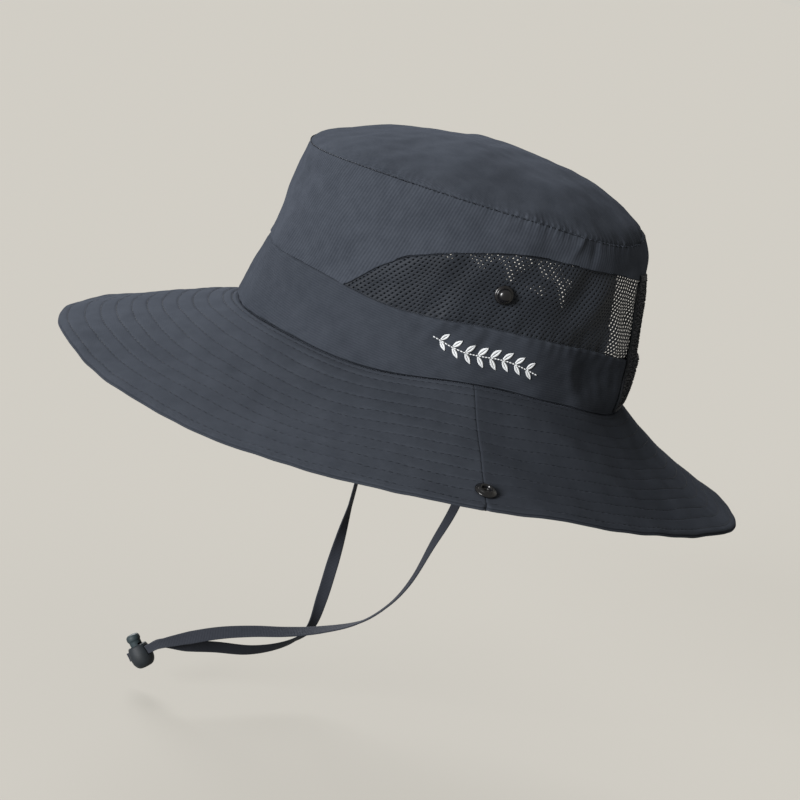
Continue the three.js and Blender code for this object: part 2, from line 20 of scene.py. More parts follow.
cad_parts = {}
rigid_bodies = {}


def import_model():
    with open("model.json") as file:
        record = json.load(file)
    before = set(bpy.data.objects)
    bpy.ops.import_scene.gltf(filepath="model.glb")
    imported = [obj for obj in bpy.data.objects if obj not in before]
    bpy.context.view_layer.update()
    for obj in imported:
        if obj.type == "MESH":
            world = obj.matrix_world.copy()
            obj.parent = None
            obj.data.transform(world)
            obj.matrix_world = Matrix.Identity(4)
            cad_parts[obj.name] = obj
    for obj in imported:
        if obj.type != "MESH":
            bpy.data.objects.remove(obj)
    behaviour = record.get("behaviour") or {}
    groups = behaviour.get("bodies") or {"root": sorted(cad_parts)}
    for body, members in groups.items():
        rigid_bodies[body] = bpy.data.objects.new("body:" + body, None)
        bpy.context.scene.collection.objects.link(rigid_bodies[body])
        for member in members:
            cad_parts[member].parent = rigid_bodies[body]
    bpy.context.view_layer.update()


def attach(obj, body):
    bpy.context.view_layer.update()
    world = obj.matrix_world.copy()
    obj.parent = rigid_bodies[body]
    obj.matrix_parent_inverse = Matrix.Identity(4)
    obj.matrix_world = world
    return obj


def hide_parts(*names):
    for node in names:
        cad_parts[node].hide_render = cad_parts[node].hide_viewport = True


LOG = logging.getLogger("sun_hat")
MM = 0.001
THREAD_MAP = "Thread"

Array = np.ndarray
Piece = bpy.types.Object
Material = bpy.types.Material
Socket = bpy.types.NodeSocket
Colour = tuple[float, float, float]
Pairs = tuple[tuple[float, float], ...]
StrandRow = tuple[float, float, float, float]

# Angles at which distances round the crown are worked out, from past the back to past the front again
ROUND_STEPS = np.linspace(-200, 380, 1161)
# How far a stitch's line lies outside the cloth
STITCH_LIFT = 0.05 * MM
# Corners of each cell of the nets
CELL_CORNERS = 6


class Side(Enum):
    """The two sides of the hat, as its wearer has them."""

    LEFT = 1
    RIGHT = -1

    @property
    def word(self) -> str:
        """Plain word for the names of the pieces."""
        return self.name.lower()


# Small tools for shapes


def ease(x: Array) -> Array:
    """Smooth step from 0 to 1."""
    t = np.clip(x, 0.0, 1.0)
    return t * t * (3 - 2 * t)


def bell(x: Array) -> Array:
    """Smooth bump of height 1 round 0."""
    return np.exp(-x * x)


def unit(v: Array) -> Array:
    """Vectors of length 1."""
    return v / np.maximum(np.linalg.norm(v, axis=-1, keepdims=True), 1e-12)


def wrapped(deg: Array) -> Array:
    """Angles brought between -180 and 180."""
    return (deg + 180) % 360 - 180


def off_front(deg: Array) -> Array:
    """Angles from the front towards either side, from 0 to 180."""
    return np.abs(wrapped(deg))


def along_line(points: Array) -> Array:
    """Distance along a line of points, from its first one."""
    return np.concatenate([[0], np.cumsum(np.linalg.norm(np.diff(points, axis=0), axis=1))])


def cloth_place(u: Array, v: Array) -> Array:
    """Place in the cloth round closed rings, with the first place of each ring once more at its end."""
    uv = np.stack(np.broadcast_arrays(u, v), -1)
    return np.concatenate([uv, uv[:, :1]], 1)


@dataclass(frozen=True)
class RoundTable:
    """A value round the hat, from rows of degrees and value, the same on both sides."""

    rows: Pairs

    def at(self, deg: Array) -> Array:
        """Read the smooth curve through the rows.

        Args:
            deg: angles from the front, in degrees.

        Returns:
            The value at each angle.
        """
        x = off_front(np.asarray(deg, float))
        knots, values = np.array(self.rows, float).T
        slope = np.zeros(len(knots))
        slope[1:-1] = (values[2:] - values[:-2]) / (knots[2:] - knots[:-2])
        i = np.clip(np.searchsorted(knots, x, side="left") - 1, 0, len(knots) - 2)
        span = knots[i + 1] - knots[i]
        t = np.clip((x - knots[i]) / span, 0, 1)
        rise = 3 * t**2 - 2 * t**3
        leaving = (t**3 - 2 * t**2 + t) * span * slope[i]
        arriving = (t**3 - t**2) * span * slope[i + 1]
        return values[i] * (1 - rise) + values[i + 1] * rise + leaving + arriving


@dataclass(frozen=True)
class Unevenness:
    """Soft unevenness of cloth: a sum of slow waves through space, the same in each run.

    height and size are in metres, except for a height of 1, which leaves the scale to the caller.
    """

    height: float
    size: float
    seed: int
    waves: int = 9

    def at(self, points: Array) -> Array:
        """Height at each point.

        Args:
            points: places in metres, xyz in the last axis.

        Returns:
            The height at each place.
        """
        draw = np.random.default_rng(self.seed)
        ways = unit(draw.normal(size=(self.waves, 3)))
        rates = draw.uniform(0.7, 1.5, self.waves) * 2 * np.pi / self.size
        starts = draw.uniform(0, 2 * np.pi, self.waves)
        phase = points @ (ways * rates[:, None]).T + starts
        return self.height * (np.sin(phase).sum(-1) / math.sqrt(self.waves / 2))


def uneven(layers: tuple[Unevenness, ...], points: Array) -> Array:
    """Height of some layers of unevenness together."""
    return sum(layer.at(points) for layer in layers)


@dataclass(frozen=True)
class Fold:
    """A soft fold or dent in the cloth: where it is, how it lies, its length, width and height.

    Lengths are in millimetres.
    """

    deg: float
    z: float
    lie_deg: float
    length: float
    width: float
    height: float

    def at(self, arc: Array, z: Array, arc_of_deg: float) -> Array:
        """Height of the fold over the cloth.

        Args:
            arc: distance round the crown of each place.
            z: height of each place.
            arc_of_deg: distance round the crown of the fold's own angle.

        Returns:
            The outward distance at each place.
        """
        a = math.radians(self.lie_deg)
        u = arc - arc_of_deg
        v = z - self.z * MM
        along = u * math.cos(a) + v * math.sin(a)
        across = v * math.cos(a) - u * math.sin(a)
        return self.height * MM * bell(along / (self.length * MM)) * bell(across / (self.width * MM))


@dataclass(frozen=True)
class HatForm:
    """The surfaces of the hat, worked out from the same named sizes as the CAD part.

    The tables give shares of the matching size by angle. Each dent has its angle, its level, its
    depth as a share of the crown's height, and its reach sideways in degrees and upwards in level.
    """

    base_half_length: float = 100 * MM
    base_half_width: float = 82 * MM
    top_half_length: float = 86 * MM
    top_half_width: float = 78.5 * MM
    crown_height: float = 84 * MM
    dome_rise: float = 20 * MM
    front_bulge: float = -1.2 * MM
    back_bulge: float = 4.4 * MM
    band_height: float = 32 * MM
    brim_reach: float = 80 * MM
    brim_drop: float = 40 * MM
    right_rise: float = 1.6 * MM
    opening_half_width: float = 20 * MM
    base_lift: RoundTable = RoundTable(
        ((0, 0), (30, -0.006), (60, -0.025), (90, 0.042), (120, 0.006), (145, -0.057), (180, -0.040))
    )
    seam_lift: RoundTable = RoundTable(((0, 0.993), (45, 1.015), (90, 0.998), (135, 0.942), (180, 0.986)))
    fullness: RoundTable = RoundTable(((0, 1.85), (45, 2.1), (90, 2.3), (135, 2.5), (180, 2.55)))
    band_line: RoundTable = RoundTable(
        ((0, 1.01), (44, 0.99), (85, 0.85), (115, 0.87), (140, 0.90), (180, 0.80))
    )
    net_rise: RoundTable = RoundTable(
        (
            (44, 0), (48, 0.066), (52, 0.152), (56, 0.218), (60, 0.275), (66, 0.322), (74, 0.365),
            (84, 0.398), (96, 0.425), (120, 0.436), (145, 0.458), (180, 0.440),
        )
    )
    rim_reach: RoundTable = RoundTable(((0, 1.004), (45, 1.005), (90, 0.972), (135, 0.884), (180, 0.928)))
    rim_fall: RoundTable = RoundTable(((0, 0.765), (45, 0.865), (90, 0.735), (135, 0.885), (180, 1.147)))
    rim_middle: RoundTable = RoundTable(
        ((0, 0.035), (45, -0.030), (90, -0.074), (135, -0.090), (180, -0.112))
    )
    dents: tuple[tuple[float, float, float, float, float], ...] = (
        (9, 0.86, 0.014, 9, 0.10), (23, 0.44, 0.018, 8, 0.10), (39, 0.42, 0.014, 7, 0.08),
    )

    def base_z(self, deg: Array) -> Array:
        """Height of the crown's foot."""
        return self.crown_height * self.base_lift.at(deg)

    def seam_z(self, deg: Array) -> Array:
        """Height of the top seam."""
        return self.crown_height * self.seam_lift.at(deg)

    def band_z(self, deg: Array) -> Array:
        """Height of the band's upper edge."""
        return self.base_z(deg) + self.band_height * self.band_line.at(deg)

    def arch_z(self, deg: Array) -> Array:
        """Height of the net windows' arched upper edge."""
        return self.band_z(deg) + self.crown_height * self.net_rise.at(deg)

    @property
    def opening_deg(self) -> float:
        """Angle of the ponytail opening's edge."""
        return 180 - math.degrees(math.asin(self.opening_half_width / self.base_half_width))

    @property
    def net_start_deg(self) -> float:
        """Angle of the nets' front points."""
        return self.net_rise.rows[0][0]

    def outward(self, deg: Array) -> Array:
        """Level direction away from the crown.

        Args:
            deg: angles from the front.

        Returns:
            Directions, xyz in the last axis.
        """
        a = np.radians(deg)
        flat = [np.sin(a) / self.base_half_width, -np.cos(a) / self.base_half_length, 0 * a]
        return unit(np.stack(flat, -1))

    def oval(self, deg: Array, half_width: float, half_length: float, z: Array) -> Array:
        """Points of a level or wavy oval."""
        a = np.radians(deg)
        return np.stack([half_width * np.sin(a), -half_length * np.cos(a), z + 0 * a], -1)

    def crown(self, deg: Array, z: Array, proud: Array) -> Array:
        """Points of the crown's side.

        Args:
            deg: angles from the front.
            z: heights.
            proud: distance outside the plain face.

        Returns:
            Points, xyz in the last axis.
        """
        deg, z, proud = np.broadcast_arrays(np.asarray(deg, float), z, proud)
        base, seam = self.base_z(deg), self.seam_z(deg)
        level = (z - base) / (seam - base)
        foot = self.oval(deg, self.base_half_width, self.base_half_length, base)
        top = self.oval(deg, self.top_half_width, self.top_half_length, seam)
        front = 0.5 + 0.5 * np.cos(np.radians(deg))
        bulge = self.back_bulge + (self.front_bulge - self.back_bulge) * front
        out = proud + bulge * 4 * level * (1 - level) - self.dent(deg, level)
        return foot + (top - foot) * level[..., None] + self.outward(deg) * out[..., None]

    def dent(self, deg: Array, level: Array) -> Array:
        """Depth of the soft dents in the front half of the crown.

        Args:
            deg: angles from the front.
            level: height as a share of the crown's side.

        Returns:
            The depth at each place.
        """
        depth = 0 * off_front(deg)
        for at, height, share, spread, tall in self.dents:
            beside = bell((off_front(deg) - at) / spread)
            depth = depth + self.crown_height * share * beside * bell((level - height) / tall)
        return depth

    def dome(self, deg: Array, share: Array, lower: Array) -> Array:
        """Points of the dome.

        Args:
            deg: angles from the front.
            share: 1 at the top seam, 0 in the middle.
            lower: depth under the outer face.

        Returns:
            Points, xyz in the last axis.
        """
        deg, share, lower = np.broadcast_arrays(np.asarray(deg, float), share, lower)
        seam = self.seam_z(deg)
        rise = self.crown_height + self.dome_rise - seam
        z = seam + rise * (1 - np.maximum(share, 0) ** self.fullness.at(deg))
        edge = lower * ease((share - 0.8) / 0.2)
        a = np.radians(deg)
        x = (self.top_half_width * share - edge) * np.sin(a)
        y = -(self.top_half_length * share - edge) * np.cos(a)
        return np.stack([x, y, z - lower], -1)

    def brim(self, deg: Array, share: Array, past: Array, lower: Array) -> Array:
        """Points of the brim.

        Args:
            deg: angles from the front.
            share: 0 at the crown, 1 at the rim.
            past: further distance outwards.
            lower: depth under the upper face.

        Returns:
            Points, xyz in the last axis.
        """
        deg, share, past, lower = np.broadcast_arrays(np.asarray(deg, float), share, past, lower)
        reach = self.brim_reach * self.rim_reach.at(deg)
        t = np.maximum(share, 0)
        base = self.base_z(deg)
        rim = -self.brim_drop * self.rim_fall.at(deg)
        middle = self.brim_drop * self.rim_middle.at(deg) * 4 * t * (1 - t)
        right = bell((wrapped(deg) + 70) / 55)
        z = base + (rim - base) * t + middle - lower + self.right_rise * right * t
        foot = self.oval(deg, self.base_half_width, self.base_half_length, z)
        return foot + self.outward(deg) * (reach * share + past)[..., None]

    def crown_arc(self, deg: Array) -> Array:
        """Distance round the crown, nearly half way up, from the front to each angle.

        Args:
            deg: angles from the front.

        Returns:
            The distances.
        """
        middle = self.base_z(ROUND_STEPS) * 0.55 + self.seam_z(ROUND_STEPS) * 0.45
        gone = along_line(self.crown(ROUND_STEPS, middle, 0.0))
        return np.interp(deg, ROUND_STEPS, gone - np.interp(0, ROUND_STEPS, gone))

    def crown_deg(self, arc: Array) -> Array:
        """Angle at a distance round the crown, nearly half way up."""
        return np.interp(arc, self.crown_arc(ROUND_STEPS), ROUND_STEPS)


FORM = HatForm()


def with_folds(out: Array, folds: tuple[Fold, ...], arc: Array, z: Array, free: Array | float = 1.0) -> Array:
    """Add soft folds to the cloth's heights on both sides of the hat.

    Args:
        out: the heights so far.
        folds: the folds of the wearer's left side.
        arc: distance round the crown of each place.
        z: height of each place.
        free: share of the folds that each place takes.

    Returns:
        The new heights.
    """
    for fold in folds:
        for side in Side:
            centre = float(FORM.crown_arc(np.array(side.value * fold.deg)))
            out = out + free * fold.at(side.value * arc, z, side.value * centre)
    return out


# Meshes


def make_piece(
    name: str, points: Array, faces: list[list[int]], thread: Array | None, flat: int = 0
) -> Piece:
    """Make an object from points and faces, with its faces turned outwards.

    Args:
        name: the piece's name.
        points: vertices.
        faces: corners of each face, by vertex.
        thread: place in the cloth of each face corner, in metres, or None.
        flat: how many faces at the end of the list are shaded flat.

    Returns:
        The new object, linked to the scene.
    """
    mesh = bpy.data.meshes.new(name)
    mesh.from_pydata(points.reshape(-1, 3).tolist(), [], faces)
    if thread is not None:
        layer = mesh.uv_layers.new(name=THREAD_MAP)
        layer.uv.foreach_set("vector", thread.astype(np.float32).ravel())
    smooth = np.ones(len(faces), bool)
    if flat:
        smooth[-flat:] = False
    mesh.polygons.foreach_set("use_smooth", smooth)
    mesh.validate()
    mesh.calc_loop_triangles()
    corners = np.empty(len(mesh.loop_triangles) * 3, np.int32)
    mesh.loop_triangles.foreach_get("vertices", corners)
    a, b, c = points.reshape(-1, 3)[corners.reshape(-1, 3).T]
    if np.einsum("ij,ij->", a, np.cross(b, c)) < 0:
        mesh.flip_normals()
    piece = bpy.data.objects.new(name, mesh)
    bpy.context.scene.collection.objects.link(piece)
    return piece


def loft(name: str, rings: Array, thread: Array, closed: bool) -> Piece:
    """Make a solid through closed rings of points.

    Args:
        name: the piece's name.
        rings: points by ring, place in the ring, xyz.
        thread: place in the cloth by ring, place, uv. It has one more place than rings, and one more
            ring where the solid is closed, so that the weave doesn't jump.
        closed: whether the last ring joins the first.

    Returns:
        The new object.
    """
    count, places = rings.shape[:2]
    i, j = np.meshgrid(np.arange(count if closed else count - 1), np.arange(places), indexing="ij")
    n, m = (i + 1) % count, (j + 1) % places
    faces = np.stack([i * places + j, n * places + j, n * places + m, i * places + m], -1).reshape(-1, 4)
    uv = np.stack([thread[i, j], thread[i + 1, j], thread[i + 1, j + 1], thread[i, j + 1]], 2).reshape(-1, 2)
    rows = faces.tolist()
    if not closed:
        first = list(range(places))
        last = [(count - 1) * places + k for k in reversed(range(places))]
        rows += [first, last]
        uv = np.concatenate([uv, thread[0, :places], thread[count - 1, :places][::-1]])
    return make_piece(name, rings, rows, uv, 0 if closed else 2)


def weld(piece: Piece, reach: float = 1e-6) -> None:
    """Join the vertices of a piece that lie on each other.

    Args:
        piece: the object.
        reach: how near they must be.
    """
    work = bmesh.new()
    work.from_mesh(piece.data)
    bmesh.ops.remove_doubles(work, verts=work.verts, dist=reach)
    work.to_mesh(piece.data)
    work.free()


def lathe(name: str, outline: Pairs, sides: int) -> Piece:
    """Turn a piece round +Z.

    Args:
        name: the piece's name.
        outline: radius and height pairs in millimetres, the first and last on the axis.
        sides: how many steps go round.

    Returns:
        The new object.
    """
    turn = np.linspace(0, 2 * np.pi, sides, endpoint=False)[:, None]
    line = np.array(outline, float) * MM
    radius, height = line[1:-1].T
    rings = np.stack([radius * np.cos(turn), radius * np.sin(turn), height + 0 * turn], -1)
    places = len(radius)
    points = np.concatenate([rings.reshape(-1, 3), [[0, 0, line[0, 1]], [0, 0, line[-1, 1]]]])
    low, high = sides * places, sides * places + 1
    faces: list[list[int]] = []
    for i in range(sides):
        n = (i + 1) % sides
        faces.append([low, n * places, i * places])
        for j in range(places - 1):
            faces.append([i * places + j, n * places + j, n * places + j + 1, i * places + j + 1])
        faces.append([high, i * places + places - 1, n * places + places - 1])
    return make_piece(name, points, faces, None)


@dataclass(frozen=True)
class Section:
    """Cross-section of a cloth wall with rounded edges, as one closed line.

    place is the share of the way from one edge to the other, lift a distance further on, and depth
    the distance under the outer face.
    """

    place: Array
    lift: Array
    depth: Array

    @staticmethod
    def through(places: Array, wall: float, rounding: int = 4) -> "Section":
        """Section with rows at given places.

        Args:
            places: shares of the height for the rows, from 0 to 1.
            wall: thickness.
            rounding: points round each edge.

        Returns:
            The section: up the outer face, over, down the inner face and under.
        """
        r = wall / 2
        ends = np.zeros(len(places))
        ends[0], ends[-1] = r, -r
        over = np.linspace(0, np.pi, rounding + 2)[1:-1]
        under = np.linspace(np.pi, 2 * np.pi, rounding + 2)[1:-1]
        return Section(
            np.concatenate([places, np.ones(rounding), places[::-1], np.zeros(rounding)]),
            np.concatenate([ends, -r + r * np.sin(over), ends[::-1], r + r * np.sin(under)]),
            np.concatenate([0 * places, r - r * np.cos(over), 0 * places + wall, r - r * np.cos(under)]),
        )


@dataclass
class StitchRow:
    """A line of stitches over cloth: dense points of the line and the cloth's outward direction."""

    line: Array
    away: Array


@dataclass(frozen=True)
class Needle:
    """How a sewing machine was set: pitch, length and thickness of its stitches, and their unevenness."""

    pitch: float = 2.6 * MM
    length: float = 1.9 * MM
    width: float = 0.42 * MM
    height: float = 0.34 * MM
    wander: float = 0.07 * MM
    seed: int = 5

    def ends(self, row: StitchRow) -> tuple[Array, Array, Array]:
        """Both ends of each stitch of a row, and the outward direction there.

        Args:
            row: the line to sew along.

        Returns:
            Starts, ends and outward directions.
        """
        gone = along_line(row.line)
        count = max(1, int(gone[-1] / self.pitch))
        pitch = gone[-1] / count
        draw = np.random.default_rng(self.seed + count)
        begin = (np.arange(count) + 0.5) * pitch - self.length / 2 + draw.normal(0, self.wander, count)

        def point(at: Array, values: Array) -> Array:
            """Values of the line at distances along it."""
            return np.stack([np.interp(at, gone, values[:, k]) for k in range(3)], -1)

        away = unit(point(begin + self.length / 2, row.away))
        side = unit(np.cross(away, point(begin + self.length, row.line) - point(begin, row.line)))
        shift = side * draw.normal(0, self.wander, count)[:, None]
        return point(begin, row.line) + shift, point(begin + self.length, row.line) - shift, away

    def sew(self, name: str, rows: list[StitchRow]) -> Piece:
        """Make all the stitches of some rows as one joined piece.

        Args:
            name: the piece's name.
            rows: the lines to sew along.

        Returns:
            The new object.
        """
        parts = [self.ends(row) for row in rows]
        start, end, away = (np.concatenate([part[k] for part in parts]) for k in range(3))
        return thread_pieces(name, start, end, away, self.width, self.height)


def thread_pieces(name: str, start: Array, end: Array, away: Array, width: float, height: float) -> Piece:
    """Make short plump threads, each from a start to an end, as one joined piece.

    Args:
        name: the piece's name.
        start: one end of each thread.
        end: its other end.
        away: the outward direction of the cloth there.
        width: thickness sideways.
        height: thickness outwards.

    Returns:
        The new object.
    """
    run = end - start
    side = unit(np.cross(away, run)) * width / 2
    up = unit(away) * height / 2
    middle = up * 0.5
    rings = []
    for share in (0.2, 0.8):
        centre = start + run * share + middle
        rings += [centre + side, centre + up, centre - side, centre - up]
    points = np.stack([start - up * 0.6, *rings, end - up * 0.6], 1)
    one: list[list[int]] = []
    for s in range(4):
        n = (s + 1) % 4
        one += [[0, 1 + n, 1 + s], [1 + s, 1 + n, 5 + n, 5 + s], [9, 5 + s, 5 + n]]
    faces = [[k * 10 + corner for corner in face] for k in range(len(start)) for face in one]
    return make_piece(name, points, faces, None)


# Finishes


class Wiring:
    """Adds and joins the nodes of one material."""

    def __init__(self, name: str) -> None:
        """Start an empty material.

        Args:
            name: the material's name.
        """
        self.material = bpy.data.materials.new(name)
        self.material.use_nodes = True
        self.tree = self.material.node_tree
        self.tree.nodes.clear()
        self.output = self.tree.nodes.new("ShaderNodeOutputMaterial")

    def add(self, kind: str, values: dict[str, object] | None = None, **settings: object) -> bpy.types.Node:
        """Add a node.

        Args:
            kind: the node's type.
            values: numbers or colours for its sockets, by name.
            settings: its own settings.

        Returns:
            The node.
        """
        node = self.tree.nodes.new(kind)
        for key, value in settings.items():
            setattr(node, key, value)
        for key, value in (values or {}).items():
            node.inputs[key].default_value = value
        return node

    def join(self, source: Socket, target: Socket) -> None:
        """Join two sockets."""
        self.tree.links.new(source, target)

    def thread(self, turn_deg: float) -> Socket:
        """Place in the cloth, in metres, turned by an angle.

        Args:
            turn_deg: the angle.

        Returns:
            The socket with the result.
        """
        uv = self.add("ShaderNodeUVMap", uv_map=THREAD_MAP)
        turned = self.add("ShaderNodeMapping")
        turned.inputs["Rotation"].default_value = (0, 0, math.radians(turn_deg))
        self.join(uv.outputs["UV"], turned.inputs["Vector"])
        return turned.outputs["Vector"]

    def place(self) -> Socket:
        """Place in the part's frame, in metres."""
        return self.add("ShaderNodeTexCoord").outputs["Object"]

    def lines(self, vector: Socket, pitch: float, uneven: float) -> Socket:
        """Fine lines at a pitch, from 0 to 1.

        Args:
            vector: the place to read.
            pitch: distance from line to line.
            uneven: how far the lines wander.

        Returns:
            The socket with the lines' height.
        """
        wave = self.add(
            "ShaderNodeTexWave",
            {"Scale": 0.1 * math.pi / pitch, "Distortion": uneven, "Detail": 1.0, "Detail Scale": 0.35},
            wave_type="BANDS", bands_direction="X", wave_profile="SIN",
        )
        self.join(vector, wave.inputs["Vector"])
        return wave.outputs["Fac"]

    def noise(self, vector: Socket, size: float, detail: float = 2.0) -> Socket:
        """Soft noise with spots of a size, round 0.5.

        Args:
            vector: the place to read.
            size: size of the spots.
            detail: how many finer layers it has.

        Returns:
            The socket with the result.
        """
        node = self.add("ShaderNodeTexNoise", {"Scale": 1 / size, "Detail": detail, "Roughness": 0.55})
        self.join(vector, node.inputs["Vector"])
        return node.outputs["Fac"]

    def blend(self, share: Socket | float, a: object, b: object) -> Socket:
        """Mix two numbers or sockets by a share.

        Args:
            share: share of the second value.
            a: the value at share 0.
            b: the value at share 1.

        Returns:
            The socket with the result.
        """
        node = self.add("ShaderNodeMix", data_type="FLOAT")
        for key, value in (("Factor", share), ("A", a), ("B", b)):
            socket = node.inputs[key]
            if isinstance(value, Socket):
                self.join(value, socket)
            else:
                socket.default_value = value
        return node.outputs["Result"]

    def shades(self, share: Socket, steps: list[tuple[float, Colour]]) -> Socket:
        """Colours along a ramp.

        Args:
            share: place on the ramp, 0 to 1.
            steps: place and colour of each step.

        Returns:
            The socket with the result.
        """
        ramp = self.add("ShaderNodeValToRGB")
        elements = ramp.color_ramp.elements
        while len(elements) < len(steps):
            elements.new(0.5)
        for element, (at, colour) in zip(elements, steps):
            element.position = at
            element.color = (*colour, 1)
        self.join(share, ramp.inputs["Fac"])
        return ramp.outputs["Color"]

    def relief(self, height: Socket, depth: float, under: Socket | None = None) -> Socket:
        """Fine relief of a height in metres, over another one if given.

        Args:
            height: the socket with the height.
            depth: how deep it is, in metres.
            under: a relief below it, or None.

        Returns:
            The socket with the result.
        """
        bump = self.add("ShaderNodeBump", {"Strength": 1.0, "Distance": depth})
        self.join(height, bump.inputs["Height"])
        if under is not None:
            self.join(under, bump.inputs["Normal"])
        return bump.outputs["Normal"]

    def surface(
        self, colour: Socket, roughness: Socket | float, normal: Socket, values: dict[str, object],
    ) -> Material:
        """Finish the material with its main shader.

        Args:
            colour: base colour.
            roughness: roughness, as a socket or a number.
            normal: relief.
            values: further settings of the shader, by socket name.

        Returns:
            The material.
        """
        shader = self.add("ShaderNodeBsdfPrincipled", values)
        self.join(colour, shader.inputs["Base Color"])
        if isinstance(roughness, Socket):
            self.join(roughness, shader.inputs["Roughness"])
        else:
            shader.inputs["Roughness"].default_value = roughness
        self.join(normal, shader.inputs["Normal"])
        self.join(shader.outputs["BSDF"], self.output.inputs["Surface"])
        return self.material


@dataclass(frozen=True)
class TwillCloth:
    """Closely woven cloth: twill lines over fine yarns, softly mottled, with a faint sheen."""

    name: str
    dark: Colour
    light: Colour
    pitch: float = 1.6 * MM
    lie_deg: float = 13.5
    line_share: float = 0.54
    yarn_pitch: float = 0.55 * MM
    relief: float = 0.12 * MM
    roughness: float = 0.8
    sheen: float = 0.02

    def make(self) -> Material:
        """Build the material.

        Returns:
            The material.
        """
        w = Wiring(self.name)
        place = w.place()
        lines = w.lines(w.thread(self.lie_deg), self.pitch, 1.7)
        yarn = w.lines(w.thread(self.lie_deg + 84), self.yarn_pitch, 1.2)
        slub = w.noise(w.thread(8), 1.1 * MM, 3)
        mottle = w.noise(place, 6 * MM, 3)
        patch = w.noise(place, 30 * MM, 2)
        weave = w.blend(self.line_share, yarn, lines)
        weave = w.blend(0.42, weave, slub)
        cloud = w.blend(0.5, mottle, patch)
        tone = w.blend(0.52, weave, cloud)
        colour = w.shades(tone, [(0.30, self.dark), (0.70, self.light)])
        rough = w.blend(slub, self.roughness - 0.08, self.roughness + 0.08)
        normal = w.relief(weave, self.relief)
        return w.surface(
            colour,
            rough,
            normal,
            {
                "Sheen Weight": self.sheen, "Sheen Roughness": 0.45, "Sheen Tint": (0.72, 0.80, 1.0, 1),
                "Specular IOR Level": 0.0,
            },
        )


@dataclass(frozen=True)
class KnitNet:
    """Black synthetic net: satin strands with fine twisted filaments."""

    name: str
    colour: Colour
    roughness: float = 0.55

    def make(self) -> Material:
        """Build the material.

        Returns:
            The material.
        """
        w = Wiring(self.name)
        place = w.place()
        strand = w.noise(place, 0.5 * MM, 2)
        patch = w.noise(place, 18 * MM, 2)
        tone = w.blend(0.5, strand, patch)
        dark = tuple(c * 0.6 for c in self.colour)
        colour = w.shades(tone, [(0.3, dark), (0.7, self.colour)])
        rough = w.blend(strand, self.roughness - 0.1, self.roughness + 0.12)
        normal = w.relief(strand, 0.05 * MM)
        return w.surface(colour, rough, normal, {"Specular IOR Level": 0.06, "Sheen Weight": 0.02})


@dataclass(frozen=True)
class Webbing:
    """Woven ribbon: cross ribs with fine lengthwise yarns."""

    name: str
    dark: Colour
    light: Colour
    rib: float = 0.8 * MM
    relief: float = 0.10 * MM

    def make(self) -> Material:
        """Build the material.

        Returns:
            The material.
        """
        w = Wiring(self.name)
        ribs = w.lines(w.thread(0), self.rib, 0.5)
        yarns = w.lines(w.thread(90), self.rib * 0.8, 0.6)
        fluff = w.noise(w.place(), 1.2 * MM, 3)
        weave = w.blend(0.4, ribs, yarns)
        tone = w.blend(0.35, weave, fluff)
        colour = w.shades(tone, [(0.25, self.dark), (0.75, self.light)])
        rough = w.blend(fluff, 0.62, 0.82)
        normal = w.relief(weave, self.relief)
        return w.surface(
            colour, rough, normal,
            {"Sheen Weight": 0.03, "Sheen Tint": (0.75, 0.8, 1.0, 1), "Specular IOR Level": 0.03},
        )


@dataclass(frozen=True)
class Moulded:
    """Moulded plastic: gloss or satin, with faint flow marks and fine scuffs."""

    name: str
    dark: Colour
    light: Colour
    roughness: float
    specular: float = 0.2
    relief: float = 0.02 * MM

    def make(self) -> Material:
        """Build the material.

        Returns:
            The material.
        """
        w = Wiring(self.name)
        place = w.place()
        flow = w.noise(place, 4 * MM, 2)
        grain = w.noise(place, 0.35 * MM, 2)
        colour = w.shades(flow, [(0.35, self.dark), (0.65, self.light)])
        rough = w.blend(grain, self.roughness * 0.8, self.roughness * 1.25)
        normal = w.relief(grain, self.relief)
        return w.surface(colour, rough, normal, {"Specular IOR Level": self.specular})


@dataclass(frozen=True)
class SewingThread:
    """Twisted sewing thread."""

    name: str
    dark: Colour
    light: Colour
    roughness: float = 0.5

    def make(self) -> Material:
        """Build the material.

        Returns:
            The material.
        """
        w = Wiring(self.name)
        place = w.place()
        twist = w.noise(place, 0.3 * MM, 1)
        colour = w.shades(twist, [(0.3, self.dark), (0.7, self.light)])
        normal = w.relief(twist, 0.04 * MM)
        return w.surface(colour, self.roughness, normal, {"Specular IOR Level": 0.02})


@dataclass(frozen=True)
class PalePaper:
    """Pale matt floor, lit evenly from below as on a light table."""

    name: str
    colour: Colour
    glow: Colour

    def make(self) -> Material:
        """Build the material.

        Returns:
            The material.
        """
        w = Wiring(self.name)
        place = w.place()
        fibre = w.noise(place, 3 * MM, 3)
        light = tuple(min(1.0, c * 1.01) for c in self.colour)
        colour = w.shades(fibre, [(0.0, self.colour), (1.0, light)])
        normal = w.relief(fibre, 0.02 * MM)
        values = {"Specular IOR Level": 0.0, "Emission Color": (*self.glow, 1), "Emission Strength": 1.0}
        return w.surface(colour, 0.95, normal, values)


def dress(piece: Piece, material: Material, slot: str | None, *nodes: str) -> None:
    """Give a piece its finish, hang it on the root body if it has no parent, and hide the CAD nodes that it
    replaces.

    Args:
        piece: the object.
        material: its finish.
        slot: the record's material slot, or None; not used.
        nodes: CAD nodes that it replaces.
    """
    piece.data.materials.clear()
    piece.data.materials.append(material)
    if piece.parent is None:
        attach(piece, "root")
    if nodes:
        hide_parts(*nodes)
    LOG.info("%s: %d faces", piece.name, len(piece.data.polygons))


def made(finish: TwillCloth | KnitNet | Webbing | Moulded | SewingThread) -> Material:
    """Field that builds a finish once, when the finishes are made."""
    return field(default_factory=finish.make)


# The hat's sub-assemblies


